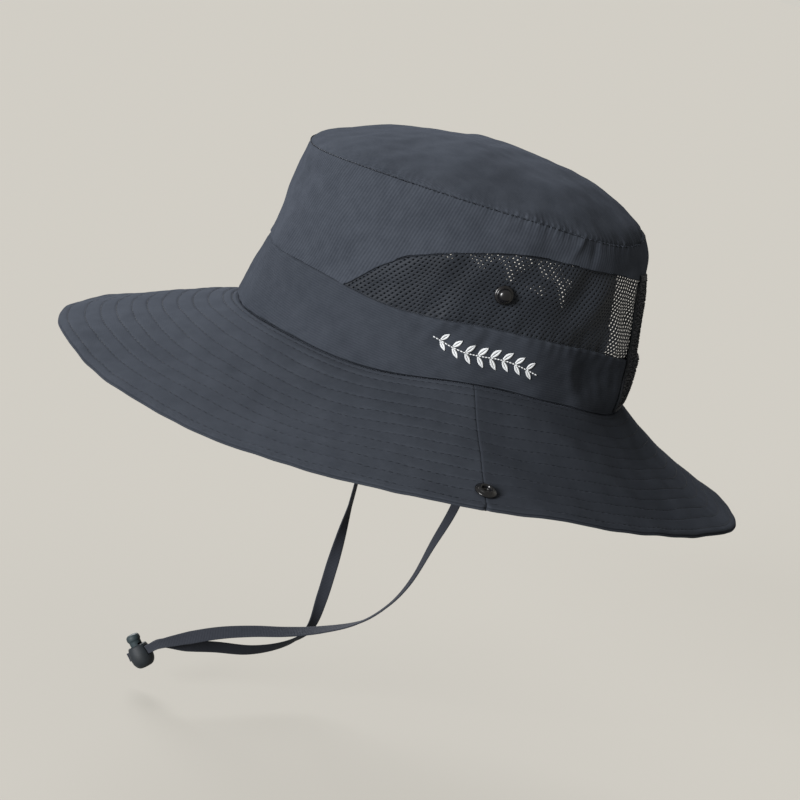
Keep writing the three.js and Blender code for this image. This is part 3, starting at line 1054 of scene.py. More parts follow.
@dataclass
class Finishes:
    """All the finishes of the hat, made once and in this order."""

    cloth: Material = made(TwillCloth("charcoal_twill", (0.0140, 0.0162, 0.0208), (0.0295, 0.0335, 0.0418)))
    top_cloth: Material = made(
        TwillCloth(
            "charcoal_top_twill", (0.0135, 0.0158, 0.0202), (0.0285, 0.0322, 0.0400), pitch=0.8 * MM,
            lie_deg=40, line_share=0.4, relief=0.06 * MM,
        )
    )
    # Band: the crown's twill made darker, which is painted shade for the band's shaded look
    band_cloth_painted_shade: Material = made(
        TwillCloth(
            "charcoal_band_twill_painted_shade", (0.0132, 0.0154, 0.0198), (0.0240, 0.0272, 0.0338), pitch=1.1 * MM,
            lie_deg=95, line_share=0.45,
        )
    )
    brim_cloth: Material = made(
        TwillCloth(
            "charcoal_brim_twill", (0.0150, 0.0173, 0.0218), (0.0272, 0.0308, 0.0382), pitch=0.7 * MM,
            lie_deg=78, line_share=0.3, relief=0.08 * MM,
        )
    )
    # Back half of the brim: the brim's twill made darker, which is painted shade for the back of the hat
    back_brim_painted_shade_cloth: Material = made(
        TwillCloth(
            "charcoal_back_brim_twill_painted_shade", (0.0122, 0.0141, 0.0178), (0.0222, 0.0251, 0.0312), pitch=0.7 * MM,
            lie_deg=100, line_share=0.3, relief=0.08 * MM,
        )
    )
    net: Material = made(KnitNet("black_net", (0.0128, 0.015, 0.0192)))
    tape: Material = made(Webbing("fastening_tape", (0.006, 0.007, 0.008), (0.014, 0.015, 0.018)))
    ribbon: Material = made(Webbing("woven_ribbon", (0.010, 0.0112, 0.0145), (0.0195, 0.0215, 0.027)))
    stud: Material = made(
        Moulded("gloss_black_plastic", (0.002, 0.002, 0.0024), (0.0038, 0.0038, 0.0045), 0.27, 0.3)
    )
    lock: Material = made(Moulded("slate_plastic", (0.0046, 0.0063, 0.0080), (0.0070, 0.0092, 0.0116), 0.62))
    lock_cap: Material = made(
        Moulded("teal_slate_plastic", (0.0085, 0.0145, 0.0168), (0.012, 0.019, 0.022), 0.6)
    )
    # Stitching thread darker than the cloth: partly the thread's own colour, partly painted shade for the
    # stitched grooves
    thread: Material = made(SewingThread("dark_thread_painted_groove_shade", (0.0055, 0.0062, 0.0078), (0.0105, 0.0118, 0.0145)))
    white_thread: Material = made(SewingThread("white_thread", (0.30, 0.31, 0.32), (0.42, 0.43, 0.44)))


@dataclass
class Crown:
    """Domed top and side wall of the crown, sewn together along the top seam."""

    wall: float = 1.6 * MM
    gap: float = 0.1 * MM
    columns: int = 900
    pucker: float = 0.5 * MM
    pucker_reach: float = 2.2 * MM
    long_pucker_reach: float = 8 * MM
    pit: float = 1.0 * MM
    pit_reach: float = 1.1 * MM
    pucker_pitch: float = 4.4 * MM
    seam_depth: float = 0.7 * MM
    rounded: float = 0.9 * MM
    allowance: float = 2.2 * MM
    behind_band: float = 0.9 * MM
    overlap: float = 0.6 * MM
    front_overlap: float = 2.4 * MM
    stitch_drop: float = 1.5 * MM
    side_unevenness: tuple[Unevenness, ...] = (
        Unevenness(0.75 * MM, 44 * MM, 11),
        Unevenness(0.16 * MM, 14 * MM, 12),
    )
    top_unevenness: tuple[Unevenness, ...] = (
        Unevenness(0.45 * MM, 48 * MM, 21),
        Unevenness(0.16 * MM, 15 * MM, 22),
    )
    folds: tuple[Fold, ...] = (
        Fold(112, 79, 60, 9, 2.2, 0.9),
        Fold(118, 76, 75, 8, 2.4, -0.8),
        Fold(150, 72, 20, 16, 3.5, 0.9),
        Fold(140, 68, 12, 18, 3.0, -0.8),
        Fold(60, 66, 70, 14, 6, -0.5), Fold(28, 62, 80, 16, 6, -0.5),
    )

    def puckers(self, arc: Array, from_seam: Array) -> Array:
        """Small gathers of the cloth beside the top seam.

        Args:
            arc: distances round the crown.
            from_seam: distances from the top seam.

        Returns:
            The height at each place.
        """
        away = np.abs(from_seam)
        waver = 1.9 * np.sin(arc / (6.1 * MM)) + 1.4 * np.sin(arc / (14.3 * MM) + 1)
        past_front = 0.15 + 0.85 * ease((np.abs(arc) - 36 * MM) / (22 * MM))
        strength = (0.7 + 0.3 * np.sin(arc / (12 * MM) + 2)) * past_front
        turn = 2 * np.pi * arc / self.pucker_pitch + waver
        short = self.pucker * np.sin(turn) * strength * np.exp(-away / self.pucker_reach)
        beside_seam = bell((away - self.pit_reach) / self.pit_reach)
        pit = self.pit * np.maximum(np.sin(turn + 0.8), 0) ** 2 * strength * beside_seam
        long = 0.4 * self.pucker * np.sin(turn * 0.31 + 1) * np.exp(-away / self.long_pucker_reach)
        return short + long * strength - pit

    def turned_in(self, from_seam: Array) -> Array:
        """How far the cloth turns in towards the top seam: a soft round edge and a groove."""
        return self.rounded * bell(from_seam / (4.5 * MM)) + self.seam_depth * bell(from_seam / (0.8 * MM))

    def relief(self, deg: Array, z: Array) -> Array:
        """How far the side's cloth stands out of its plain form.

        Args:
            deg: angles from the front.
            z: heights.

        Returns:
            The height at each place.
        """
        arc = FORM.crown_arc(deg)
        from_seam = FORM.seam_z(deg) - z
        calmer = 0.25 + 0.75 * ease(from_seam / (14 * MM))
        out = uneven(self.side_unevenness, FORM.crown(deg, z, 0.0)) * calmer
        out = with_folds(out, self.folds, arc, z)
        return out + 1.2 * self.puckers(arc, from_seam) - self.turned_in(from_seam)

    def build_side(self) -> Piece:
        """Side wall: down to the band in front, and to the arch of the nets behind.

        Returns:
            The new object.
        """
        top_rows = [0.9, 0.93, 0.95, 0.966, 0.98, 0.991, 1.0]
        places = np.concatenate([[0, 0.022, 0.04, 0.055], np.linspace(0.08, 0.86, 15), top_rows])
        section = Section.through(places, self.wall)
        deg = np.linspace(-180, 180, self.columns, endpoint=False)[:, None]
        ahead = FORM.net_start_deg - off_front(deg)
        at_band = FORM.band_z(deg) - self.overlap - self.front_overlap * ease(ahead / 5)
        low = np.where(ahead >= 0, at_band, FORM.arch_z(deg) + 3 * self.gap)
        high = FORM.seam_z(deg) - self.gap - self.rounded
        z = low + (high - low) * section.place + section.lift
        allowance = 1 + self.allowance / self.wall * ease((section.place - 0.93) / 0.05)
        tucked = ease((FORM.band_z(deg) + MM - z) / (2 * MM)) * ease(ahead / 5)
        relief = self.relief(deg, z) * (1 - tucked) + (Band().relief(deg, z) - self.behind_band) * tucked
        rings = FORM.crown(deg, z, relief - section.depth * allowance)
        u = np.append(FORM.crown_arc(deg[:, 0]), FORM.crown_arc(np.array(180.0)))
        v = z - section.depth
        thread = cloth_place(u[:, None], np.concatenate([v, v[:1]]))
        return loft("crown_side_cloth", rings, thread, closed=True)

    def build_top(self) -> Piece:
        """Dome, with its edge turned down into the seam.

        Returns:
            The new object.
        """
        shares = np.concatenate([[1.0, 0.994, 0.987, 0.979, 0.968, 0.955, 0.935], np.linspace(0.9, 0, 22)])
        deg = np.linspace(-180, 180, self.columns, endpoint=False)[:, None]
        arc = FORM.crown_arc(deg)
        share = np.concatenate([shares, shares[::-1]])
        depth = np.concatenate([0 * shares, 0 * shares + self.wall])
        points = FORM.dome(deg, share, 0.0)
        from_seam = (1 - share) * FORM.top_half_width
        broad, fine = self.top_unevenness
        out = broad.at(points) * ease(from_seam / (12 * MM)) + fine.at(points)
        out = out + 0.55 * self.puckers(arc + 2 * MM, from_seam) - self.turned_in(from_seam)
        rings = FORM.dome(deg, share, depth - out)
        flat = np.concatenate([rings[..., :2], rings[:1, :, :2]])
        piece = loft("crown_top_cloth", rings, cloth_place(flat[..., 0], flat[..., 1]), closed=True)
        weld(piece)
        return piece

    def seam_rows(self) -> list[StitchRow]:
        """Line of stitches under the top seam.

        Returns:
            The line to sew along.
        """
        deg = np.linspace(-180, 180, 1500)
        z = FORM.seam_z(deg) - self.stitch_drop
        return [StitchRow(FORM.crown(deg, z, self.relief(deg, z) + STITCH_LIFT), FORM.outward(deg))]

    def build(self, finishes: Finishes) -> None:
        """Make and dress the crown's pieces.

        Args:
            finishes: the hat's finishes.
        """
        dress(self.build_top(), finishes.top_cloth, "cloth", "crown_top")
        dress(self.build_side(), finishes.cloth, "cloth", "crown_side")
        needle = Needle(pitch=2.2 * MM, length=1.5 * MM, width=0.36 * MM)
        dress(needle.sew("crown_seam_stitches", self.seam_rows()), finishes.thread, "cloth")


@dataclass
class Band:
    """Cloth band round the foot of the crown, open at the back."""

    wall: float = 1.6 * MM
    proud: float = 0.6 * MM
    lift: float = -0.75 * MM
    columns: int = 520
    gather: float = 0.22 * MM
    gather_pitch: float = 6.5 * MM
    unevenness: tuple[Unevenness, ...] = (
        Unevenness(0.45 * MM, 34 * MM, 31),
        Unevenness(0.12 * MM, 11 * MM, 32),
    )
    folds: tuple[Fold, ...] = (
        Fold(74, 24, 60, 7, 2.0, 0.8), Fold(78, 21, 62, 8, 2.2, -0.9),
        Fold(84, 19, 66, 7, 2.0, 0.7), Fold(88, 22, 66, 6, 2.0, -0.6),
        Fold(118, 16, 118, 9, 3.0, 0.8),
        Fold(124, 13, 112, 11, 3.2, -1.0),
        Fold(132, 12, 118, 10, 2.8, 0.9),
        Fold(140, 14, 110, 10, 3.0, -0.9),
        Fold(38, 13, 150, 14, 4.5, 0.35),
        Fold(128, 15, 85, 13, 15, -3.4),
    )

    def relief(self, deg: Array, z: Array) -> Array:
        """How far the band's cloth stands out of its plain form.

        Args:
            deg: angles from the front.
            z: heights.

        Returns:
            The height at each place.
        """
        arc = FORM.crown_arc(deg)
        low = z - FORM.base_z(deg)
        out = uneven(self.unevenness, FORM.crown(deg, z, 0.0))
        out = with_folds(out, self.folds, arc, z, 0.2 + 0.8 * ease(low / (9 * MM)))
        from_top = np.maximum(FORM.band_z(deg) - z, 0)
        behind = ease((off_front(deg) - 55) / 20)
        gathers = np.sin(2 * np.pi * arc / self.gather_pitch + 1.3 * np.sin(arc / (9 * MM)))
        out = out + self.gather * gathers * behind * np.exp(-from_top / (4 * MM))
        return out - 0.8 * MM * np.exp(-np.maximum(low + 0.7 * MM, 0) / (1.0 * MM))

    def build_cloth(self) -> Piece:
        """The band itself, with rounded edges.

        Returns:
            The new object.
        """
        places = np.concatenate([[0, 0.03, 0.06], np.linspace(0.11, 0.9, 11), [0.95, 1.0]])
        section = Section.through(places, self.wall + self.proud)
        deg = np.linspace(-FORM.opening_deg, FORM.opening_deg, self.columns)[:, None]
        low = FORM.base_z(deg) + self.lift - 0.5 * MM * ease((np.abs(deg) - 120) / 15)
        high = FORM.band_z(deg)
        z = low + (high - low) * section.place + section.lift
        rings = FORM.crown(deg, z, self.relief(deg, z) + self.proud - section.depth)
        return loft("band_cloth_painted_shade", rings, cloth_place(FORM.crown_arc(deg), z - section.depth), closed=False)

    def build(self, finishes: Finishes) -> None:
        """Make and dress the band."""
        dress(self.build_cloth(), finishes.band_cloth_painted_shade, "cloth", "crown_band")


@dataclass
class NetWindows:
    """Open nets in the sides of the crown, from a point at the side-front to the back opening."""

    pitch: float = 2.4 * MM
    row: float = 1.62 * MM
    strand: float = 0.3 * MM
    edge: float = 0.08 * MM
    margin: float = 2.4 * MM
    sunk: float = 0.7 * MM
    held: float = 1.0 * MM
    across_share: float = 0.35
    along_share: float = 0.5
    lead: float = 3 * MM
    tallest: float = 46 * MM
    corners: Pairs = ((0, 0), (0.5, 0), (1, 0), (1, 1), (0.5, 1), (0, 1))
    round_off: tuple[float, ...] = (0.80, 1.0, 0.94, 0.80, 1.0, 0.94)
    sag: Unevenness = Unevenness(1.0, 20 * MM, 41)

    def surface(self, side: Side, arc: Array, rise: Array, depth: Array) -> Array:
        """Points of the net, which dips behind the cloth at its edges.

        Args:
            side: side of the hat.
            arc: distances round the crown.
            rise: heights over the band's upper edge.
            depth: depth under the net's outer face.

        Returns:
            Points, xyz in the last axis.
        """
        deg = FORM.crown_deg(arc)
        band, arch = FORM.band_z(deg), FORM.arch_z(deg)
        inside = np.minimum(rise, arch - band - rise)
        tuck = ease((inside + 0.5 * MM) / (1.6 * MM))
        z = band + rise
        points = FORM.crown(deg, z, 0.0)
        beside_band = rise < (arch - band) / 2
        on_side = side.value * deg
        cloth = np.where(beside_band, Band().relief(on_side, z), Crown().relief(on_side, z))
        following = cloth * np.exp(-np.maximum(inside, 0) / (5 * MM))
        behind = ease((deg - 100) / 30)
        free = 1 - 0.85 * ease((deg - 141) / 5)
        sag = (0.35 + 0.5 * behind) * MM * self.sag.at(points) * tuck * free
        proud = following - self.held + (self.held - self.sunk) * tuck + sag - depth
        return FORM.crown(on_side, z, proud)

    def build_net(self, side: Side) -> Piece:
        """One net as a joined mesh with a real hole in each cell.

        Args:
            side: side of the hat.

        Returns:
            The new object.
        """
        first = FORM.crown_arc(np.array(FORM.net_start_deg)) - self.lead
        last = FORM.crown_arc(np.array(FORM.opening_deg)) - 0.2 * MM
        rows = np.arange(-3, int(self.tallest / self.row))
        columns = np.arange(-int(self.tallest / self.pitch), int((last - first) / self.pitch) + 4)
        i, j = (grid.ravel() for grid in np.meshgrid(columns, rows, indexing="ij"))

        def place(a: Array, b: Array) -> tuple[Array, Array]:
            """Distance round the crown and height over the band of a lattice point."""
            return first + (a + 0.5 * b) * self.pitch, b * self.row

        arc, rise = place(i + 0.5, j + 0.5)
        deg = FORM.crown_deg(arc)
        room = FORM.arch_z(deg) - FORM.band_z(deg)
        keep = (rise > -self.margin) & (rise < room + self.margin) & (arc < last - self.pitch)
        keep &= (arc > first) & (deg > FORM.net_start_deg - 1)
        i, j = i[keep], j[keep]
        edge = np.array([[(2 * (i + a)).astype(int), (j + b).astype(int)] for a, b in self.corners])
        keys = edge.transpose(2, 0, 1).reshape(-1, 2)
        shared, index = np.unique(keys, axis=0, return_inverse=True)
        index = index.reshape(-1, CELL_CORNERS)
        outer = place(shared[:, 0] / 2, shared[:, 1])
        hole = [
            place(i + 0.5 + (a - 0.5) * self.across_share * r, j + 0.5 + (b - 0.5) * self.along_share * r)
            for (a, b), r in zip(self.corners, self.round_off)
        ]
        hole_arc, hole_rise = (np.stack([h[k] for h in hole], 1).ravel() for k in range(2))
        arcs, rises = np.concatenate([outer[0], hole_arc]), np.concatenate([outer[1], hole_rise])
        grid = np.stack([arcs, rises, 0 * arcs], -1)
        arcs = arcs + Unevenness(0.3 * MM, 17 * MM, 44 + side.value).at(grid)
        rises = rises + Unevenness(0.2 * MM, 15 * MM, 47 + side.value).at(grid)
        ridge = np.arange(len(arcs)) < len(shared)
        front = self.surface(side, arcs, rises, np.where(ridge, 0.0, (self.strand - self.edge) / 2))
        back = self.surface(side, arcs, rises, np.where(ridge, self.strand, (self.strand + self.edge) / 2))
        total = len(arcs)
        ring = len(shared) + np.arange(len(i))[:, None] * CELL_CORNERS + np.arange(CELL_CORNERS)
        n = np.roll(np.arange(CELL_CORNERS), -1)
        face = np.stack([index, index[:, n], ring[:, n], ring], -1).reshape(-1, 4)
        wall = np.stack([ring, ring[:, n], ring[:, n] + total, ring + total], -1).reshape(-1, 4)
        rim = self.border(index)
        faces = np.concatenate([face, face[:, ::-1] + total, wall, rim + [[0, 0, total, total]]])
        return make_piece(f"net_window_{side.word}", np.concatenate([front, back]), faces.tolist(), None)

    def flat_cut(self) -> tuple[float, float, float]:
        """Length, greatest height and area of a net as cut, with the margins under the cloth.

        Returns:
            Length, height and area.
        """
        first, last = FORM.crown_arc(np.array([FORM.net_start_deg, FORM.opening_deg]))
        arc = np.linspace(first - self.lead, last, 400)
        deg = FORM.crown_deg(arc)
        tall = np.maximum(FORM.arch_z(deg) - FORM.band_z(deg), 0) + 2 * self.margin
        return float(arc[-1] - arc[0]), float(tall.max()), float(tall.mean() * (arc[-1] - arc[0]))

    @staticmethod
    def border(index: Array) -> Array:
        """Edges of the net's outer border, as the four corners of the faces that close it.

        Args:
            index: the corners of each cell.

        Returns:
            Four corners for each edge.
        """
        n = np.roll(np.arange(CELL_CORNERS), -1)
        edges = np.stack([index, index[:, n]], -1).reshape(-1, 2)
        low, high = np.sort(edges, axis=1).T
        _, where, count = np.unique(low * (index.max() + 1) + high, return_index=True, return_counts=True)
        a, b = edges[where[count == 1]].T
        return np.stack([b, a, a, b], -1)

    def build(self, finishes: Finishes) -> None:
        """Make and dress both nets.

        Args:
            finishes: the hat's finishes.
        """
        width, tall, area = self.flat_cut()
        LOG.info("nets: cut %.0f by %.0f mm, %.0f square cm each", width / MM, tall / MM, area * 1e4)
        for side in Side:
            net = self.build_net(side)
            dress(net, finishes.net, "net", f"mesh_{side.word}")


@dataclass
class Brim:
    """Wide brim of two plies, quilted with rows of stitching and joined at a seam on each side."""

    wall: float = 2.2 * MM
    lap: float = 1.8 * MM
    seam_deg: float = 88.2
    seam_lean_deg: float = 1.7
    clear_deg: float = 0.015
    rows: tuple[float, ...] = (
        0.030, 0.082, 0.166, 0.253, 0.340, 0.427, 0.514, 0.601, 0.688, 0.775, 0.862, 0.958,
    )
    groove: float = 0.3 * MM
    groove_width: float = 0.55 * MM
    puff: float = 0.13 * MM
    seam_groove: float = 0.22 * MM
    welt: float = 0.12 * MM
    notch: float = 1.1 * MM
    unevenness: tuple[Unevenness, ...] = (
        Unevenness(0.55 * MM, 70 * MM, 51),
        Unevenness(0.12 * MM, 17 * MM, 52),
    )
    rim: Pairs = (
        (-0.25, 0.04), (0.05, 0.2), (0.2, 0.45), (0.2, 0.7), (0.0, 0.92), (-0.5, 1.05), (-0.5, 1.15),
        (0.35, 1.28), (0.6, 1.5), (0.6, 1.8), (0.35, 2.1), (0.0, 2.2),
    )
    column_deg: float = 1.0

    def quilting(self, deg: Array, share: Array) -> Array:
        """Height of the quilted cloth: grooves at the stitched rows, soft rolls between them.

        Args:
            deg: angles from the front.
            share: share of the way from the crown to the rim.

        Returns:
            The height at each place.
        """
        reach = FORM.brim_reach * FORM.rim_reach.at(deg)
        out = 0 * share * reach
        flatter = 1 - 0.65 * ease((off_front(deg) - 95) / 35)
        for row in self.rows:
            out = out - self.groove * flatter * bell((share - row) * reach / self.groove_width)
        edges = (0.0, *self.rows, 1.0)
        for a, b in zip(edges, edges[1:]):
            t = np.clip((share - a) / (b - a), 0, 1)
            out = out + self.puff * flatter * 4 * t * (1 - t)
        return out

    def seam(self, deg: Array, share: Array) -> Array:
        """Height of the cloth beside the side seams: a groove, and a welt on its rear side.

        Args:
            deg: angles from the front.
            share: share of the way from the crown to the rim.

        Returns:
            The height at each place.
        """
        away = self.from_seam(deg, share)
        groove = self.seam_groove * bell(away / (0.5 * MM))
        return self.welt * ease(away / (0.6 * MM)) * ease((5.2 * MM - away) / (1.6 * MM)) - groove

    def upper(self, deg: Array, share: Array) -> Array:
        """Full height of the upper face over its plain form.

        Args:
            deg: angles from the front.
            share: share of the way from the crown to the rim.

        Returns:
            The height at each place.
        """
        soft = uneven(self.unevenness, FORM.brim(deg, share, 0.0, 0.0)) * ease(share / 0.2)
        near_crown = -0.7 * MM * np.exp(-np.maximum(share, 0) * FORM.brim_reach / (1.6 * MM))
        return soft + self.quilting(deg, share) + self.seam(deg, share) + near_crown

    def shares(self) -> Array:
        """Rows of points from the crown to the rim, close together at the stitched rows.

        Returns:
            The shares, from the crown to the rim.
        """
        marks = [-self.lap / FORM.brim_reach, 0.0, 0.012]
        for row in self.rows:
            marks += [row + step * MM / FORM.brim_reach for step in (-1.5, -0.8, -0.4, 0, 0.4, 0.8, 1.5)]
        marks += [(a + b) / 2 for a, b in zip(self.rows, self.rows[1:])]
        marks = sorted(mark for mark in marks if mark < 0.985)
        return np.array(marks + [0.992])

    def build_half(self, name: str, start: float, end: float) -> Piece:
        """One half of the brim, from seam to seam.

        Args:
            name: the piece's name.
            start: angle of its first seam.
            end: angle of its last seam.

        Returns:
            The new object.
        """
        start, end = start + self.clear_deg, end - self.clear_deg
        steps = np.array([0.0, 0.12, 0.26, 0.42, 0.62, 0.9, 1.3, 1.8, 2.4])
        middle = np.linspace(start + 3.1, end - 3.1, int((end - start - 6) / self.column_deg))
        deg = np.concatenate([start + steps, middle, end - steps[::-1]])[:, None]
        shares = self.shares()
        rim = np.array(self.rim) * MM
        share = np.concatenate([shares, np.ones(len(rim)), shares[::-1]])
        past = np.concatenate([0 * shares, rim[:, 0], 0 * shares])
        lower = np.concatenate([0 * shares, rim[:, 1], 0 * shares + self.wall])
        under = lower / self.wall
        height = self.upper(deg, share)
        soft = height - self.quilting(deg, share)
        lift = height * (1 - under) + (soft - self.quilting(deg, share)) * under
        notch = -self.notch * bell(self.from_seam(deg, share) / (1.3 * MM)) * ease((share - 0.97) / 0.03)
        rings = FORM.brim(deg + self.lean(deg, share), share, past + notch, lower - lift)
        reach = FORM.brim_reach * share
        u = np.radians(deg) * (FORM.base_half_length * 0.91 + reach)
        return loft(name, rings, cloth_place(u, reach + past - lower * 3), closed=False)

    def lean(self, deg: Array, share: Array) -> Array:
        """Turn of the cloth beside the side seams, which lean towards the front at the rim.

        Args:
            deg: angles from the front.
            share: share of the way from the crown to the rim.

        Returns:
            The turn in degrees.
        """
        x = wrapped(deg)
        near = bell((np.abs(x) - self.seam_deg) / 25)
        return np.sign(x) * (0.5 - np.clip(share, 0, 1)) * self.seam_lean_deg * near

    def from_seam(self, deg: Array, share: Array) -> Array:
        """Distance from the side seam on the same side."""
        return np.radians(off_front(deg) - self.seam_deg) * (FORM.base_half_length + FORM.brim_reach * share)

    def stitch_rows(self, under: bool) -> list[StitchRow]:
        """Lines of the stitched rows on the upper or the under side.

        Args:
            under: whether the under side is meant.

        Returns:
            The lines to sew along.
        """
        deg = np.linspace(-180, 180, 1440)
        away = [0.0, 0.0, 1.0] + 0.45 * FORM.outward(deg)
        if under:
            away = np.tile([0.0, 0.0, -1.0], (len(deg), 1))
        rows = []
        for share in self.rows:
            s = np.full_like(deg, share)
            height = self.upper(deg, s)
            if under:
                height = height - 2 * self.quilting(deg, s) - self.wall
            rows.append(StitchRow(FORM.brim(deg, s, 0.0, -height), away))
        return rows

    def build(self, finishes: Finishes) -> None:
        """Make and dress the brim and its stitching.

        Args:
            finishes: the hat's finishes.
        """
        a = self.seam_deg
        dress(self.build_half("brim_front_cloth", -a, a), finishes.brim_cloth, "cloth", "brim_front")
        # The back half wears the darker twill, which is painted shade
        dress(self.build_half("brim_back_cloth", a, 360 - a), finishes.back_brim_painted_shade_cloth, "cloth", "brim_back")
        needle = Needle(pitch=3.5 * MM, length=2.4 * MM, width=0.36 * MM, height=0.26 * MM)
        dress(needle.sew("brim_stitches_upper", self.stitch_rows(False)), finishes.thread, "cloth")
        dress(needle.sew("brim_stitches_under", self.stitch_rows(True)), finishes.thread, "cloth")


@dataclass
class BackTapes:
    """Fastening tapes outside the two edges of the ponytail opening."""

    wall: float = 1.2 * MM
    gap: float = 0.1 * MM
    band_proud: float = 0.6 * MM
    lift: float = 1.0 * MM
    lap: float = 3 * MM
    hook_pitch: float = 1.35 * MM
    hook_height: float = 0.22 * MM
    outer_deg: float = 146
    width: float = 26 * MM
    tall: float = 66 * MM
    pile_width: float = 0.42 * MM
    under_net: float = 0.9 * MM
    above_band: float = 0.7 * MM
    above_crown: float = 0.6 * MM
    stitched: tuple[float, float] = (0.055, 0.945)

    def face(self, side: Side, across: Array, up: Array, proud: Array) -> Array:
        """Points over a tape: across from its outer to its inner edge, up from its foot.

        Args:
            side: side of the hat.
            across: share of the tape's width.
            up: share of the tape's height.
            proud: distance outside the plain face.

        Returns:
            Points, xyz in the last axis.
        """
        deg = self.outer_deg + (FORM.opening_deg - self.outer_deg) * across
        low = FORM.base_z(deg) + self.lift
        high = FORM.arch_z(deg) + self.lap
        z = low + (high - low) * up
        over_band = ease((FORM.band_z(deg) + 2.5 * MM - z) / (3.5 * MM))
        over_crown = ease((z - FORM.arch_z(deg) + 2.5 * MM) / (3 * MM))
        on_band = self.band_proud + self.gap + self.above_band
        base = -self.under_net + on_band * over_band + self.above_crown * over_crown
        on_side = side.value * deg
        cloth = Band().relief(on_side, z) * over_band + Crown().relief(on_side, z) * over_crown
        return FORM.crown(on_side, z, base + cloth + proud)

    def swell(self, across: Array, up: Array) -> Array:
        """Soft waves of a tape."""
        return 0.25 * MM * np.sin(2 * np.pi * (up * 2.3 + across * 0.4))

    def build_tape(self, side: Side) -> Piece:
        """Tape with rounded edges.

        Args:
            side: side of the hat.

        Returns:
            The new object.
        """
        places = np.concatenate([[0, 0.02], np.linspace(0.05, 0.95, 30), [0.98, 1]])
        section = Section.through(places, self.wall)
        across = np.linspace(0, 1, 26)[:, None]
        up = section.place + section.lift / self.tall
        edge = 0.5 * MM * (bell(across / 0.03) + bell((1 - across) / 0.03))
        middle = self.wall / 2
        proud = self.wall - section.depth
        proud = middle + (proud - middle) * (1 - edge / MM) + self.swell(across, up)
        rings = self.face(side, across, up, proud)
        thread = cloth_place(across * self.width, up * self.tall - section.depth)
        return loft(f"tape_cloth_{side.word}", rings, thread, closed=False)

    def build_pile(self, side: Side) -> Piece:
        """Pile of the tape: short leaning loops on one side, upright hooks on the other.

        Args:
            side: side of the hat.

        Returns:
            The new object.
        """
        across = np.arange(0.08, 0.93, self.hook_pitch / self.width)
        up = np.arange(0.05, 0.96, self.hook_pitch / self.tall)
        a, b = (grid.ravel() for grid in np.meshgrid(across, up, indexing="ij"))
        draw = np.random.default_rng(61 + side.value)
        loose = 0.5 if side is Side.LEFT else 0.12
        a = a + draw.normal(0, loose * 0.02, len(a))
        b = b + draw.normal(0, loose * 0.008, len(b))
        swell = self.swell(a, b)
        low = self.face(side, a, b, self.wall - 0.1 * MM + swell)
        lean_a = a + draw.normal(0.02, 0.02 * loose + 0.004, len(a))
        lean_b = b + draw.normal(0.006, 0.012 * loose, len(b))
        high = self.face(side, lean_a, lean_b, self.wall + self.hook_height + swell)
        sideways = np.cross(high - low, [0.0, 0.0, 1.0])
        return thread_pieces(f"tape_pile_{side.word}", low, high, sideways, self.pile_width, self.pile_width)

    def stitch_rows(self, side: Side) -> list[StitchRow]:
        """Lines of stitches close to the edges of a tape.

        Args:
            side: side of the hat.

        Returns:
            The lines to sew along.
        """
        steps = np.linspace(0.02, 0.98, 160)
        away = FORM.outward(np.full_like(steps, side.value * (self.outer_deg + FORM.opening_deg) / 2))
        proud = self.wall + STITCH_LIFT
        lines = [self.face(side, across + 0 * steps, steps, proud) for across in self.stitched]
        return [StitchRow(line, away) for line in lines]

    def build(self, finishes: Finishes) -> None:
        """Make and dress both tapes.

        Args:
            finishes: the hat's finishes.
        """
        for side in Side:
            dress(self.build_tape(side), finishes.tape, "tape", f"back_tape_{side.word}")
            dress(self.build_pile(side), finishes.tape, "tape")
            needle = Needle(pitch=2.6 * MM, length=2.0 * MM)
            dress(needle.sew(f"tape_stitches_{side.word}", self.stitch_rows(side)), finishes.thread, "tape")


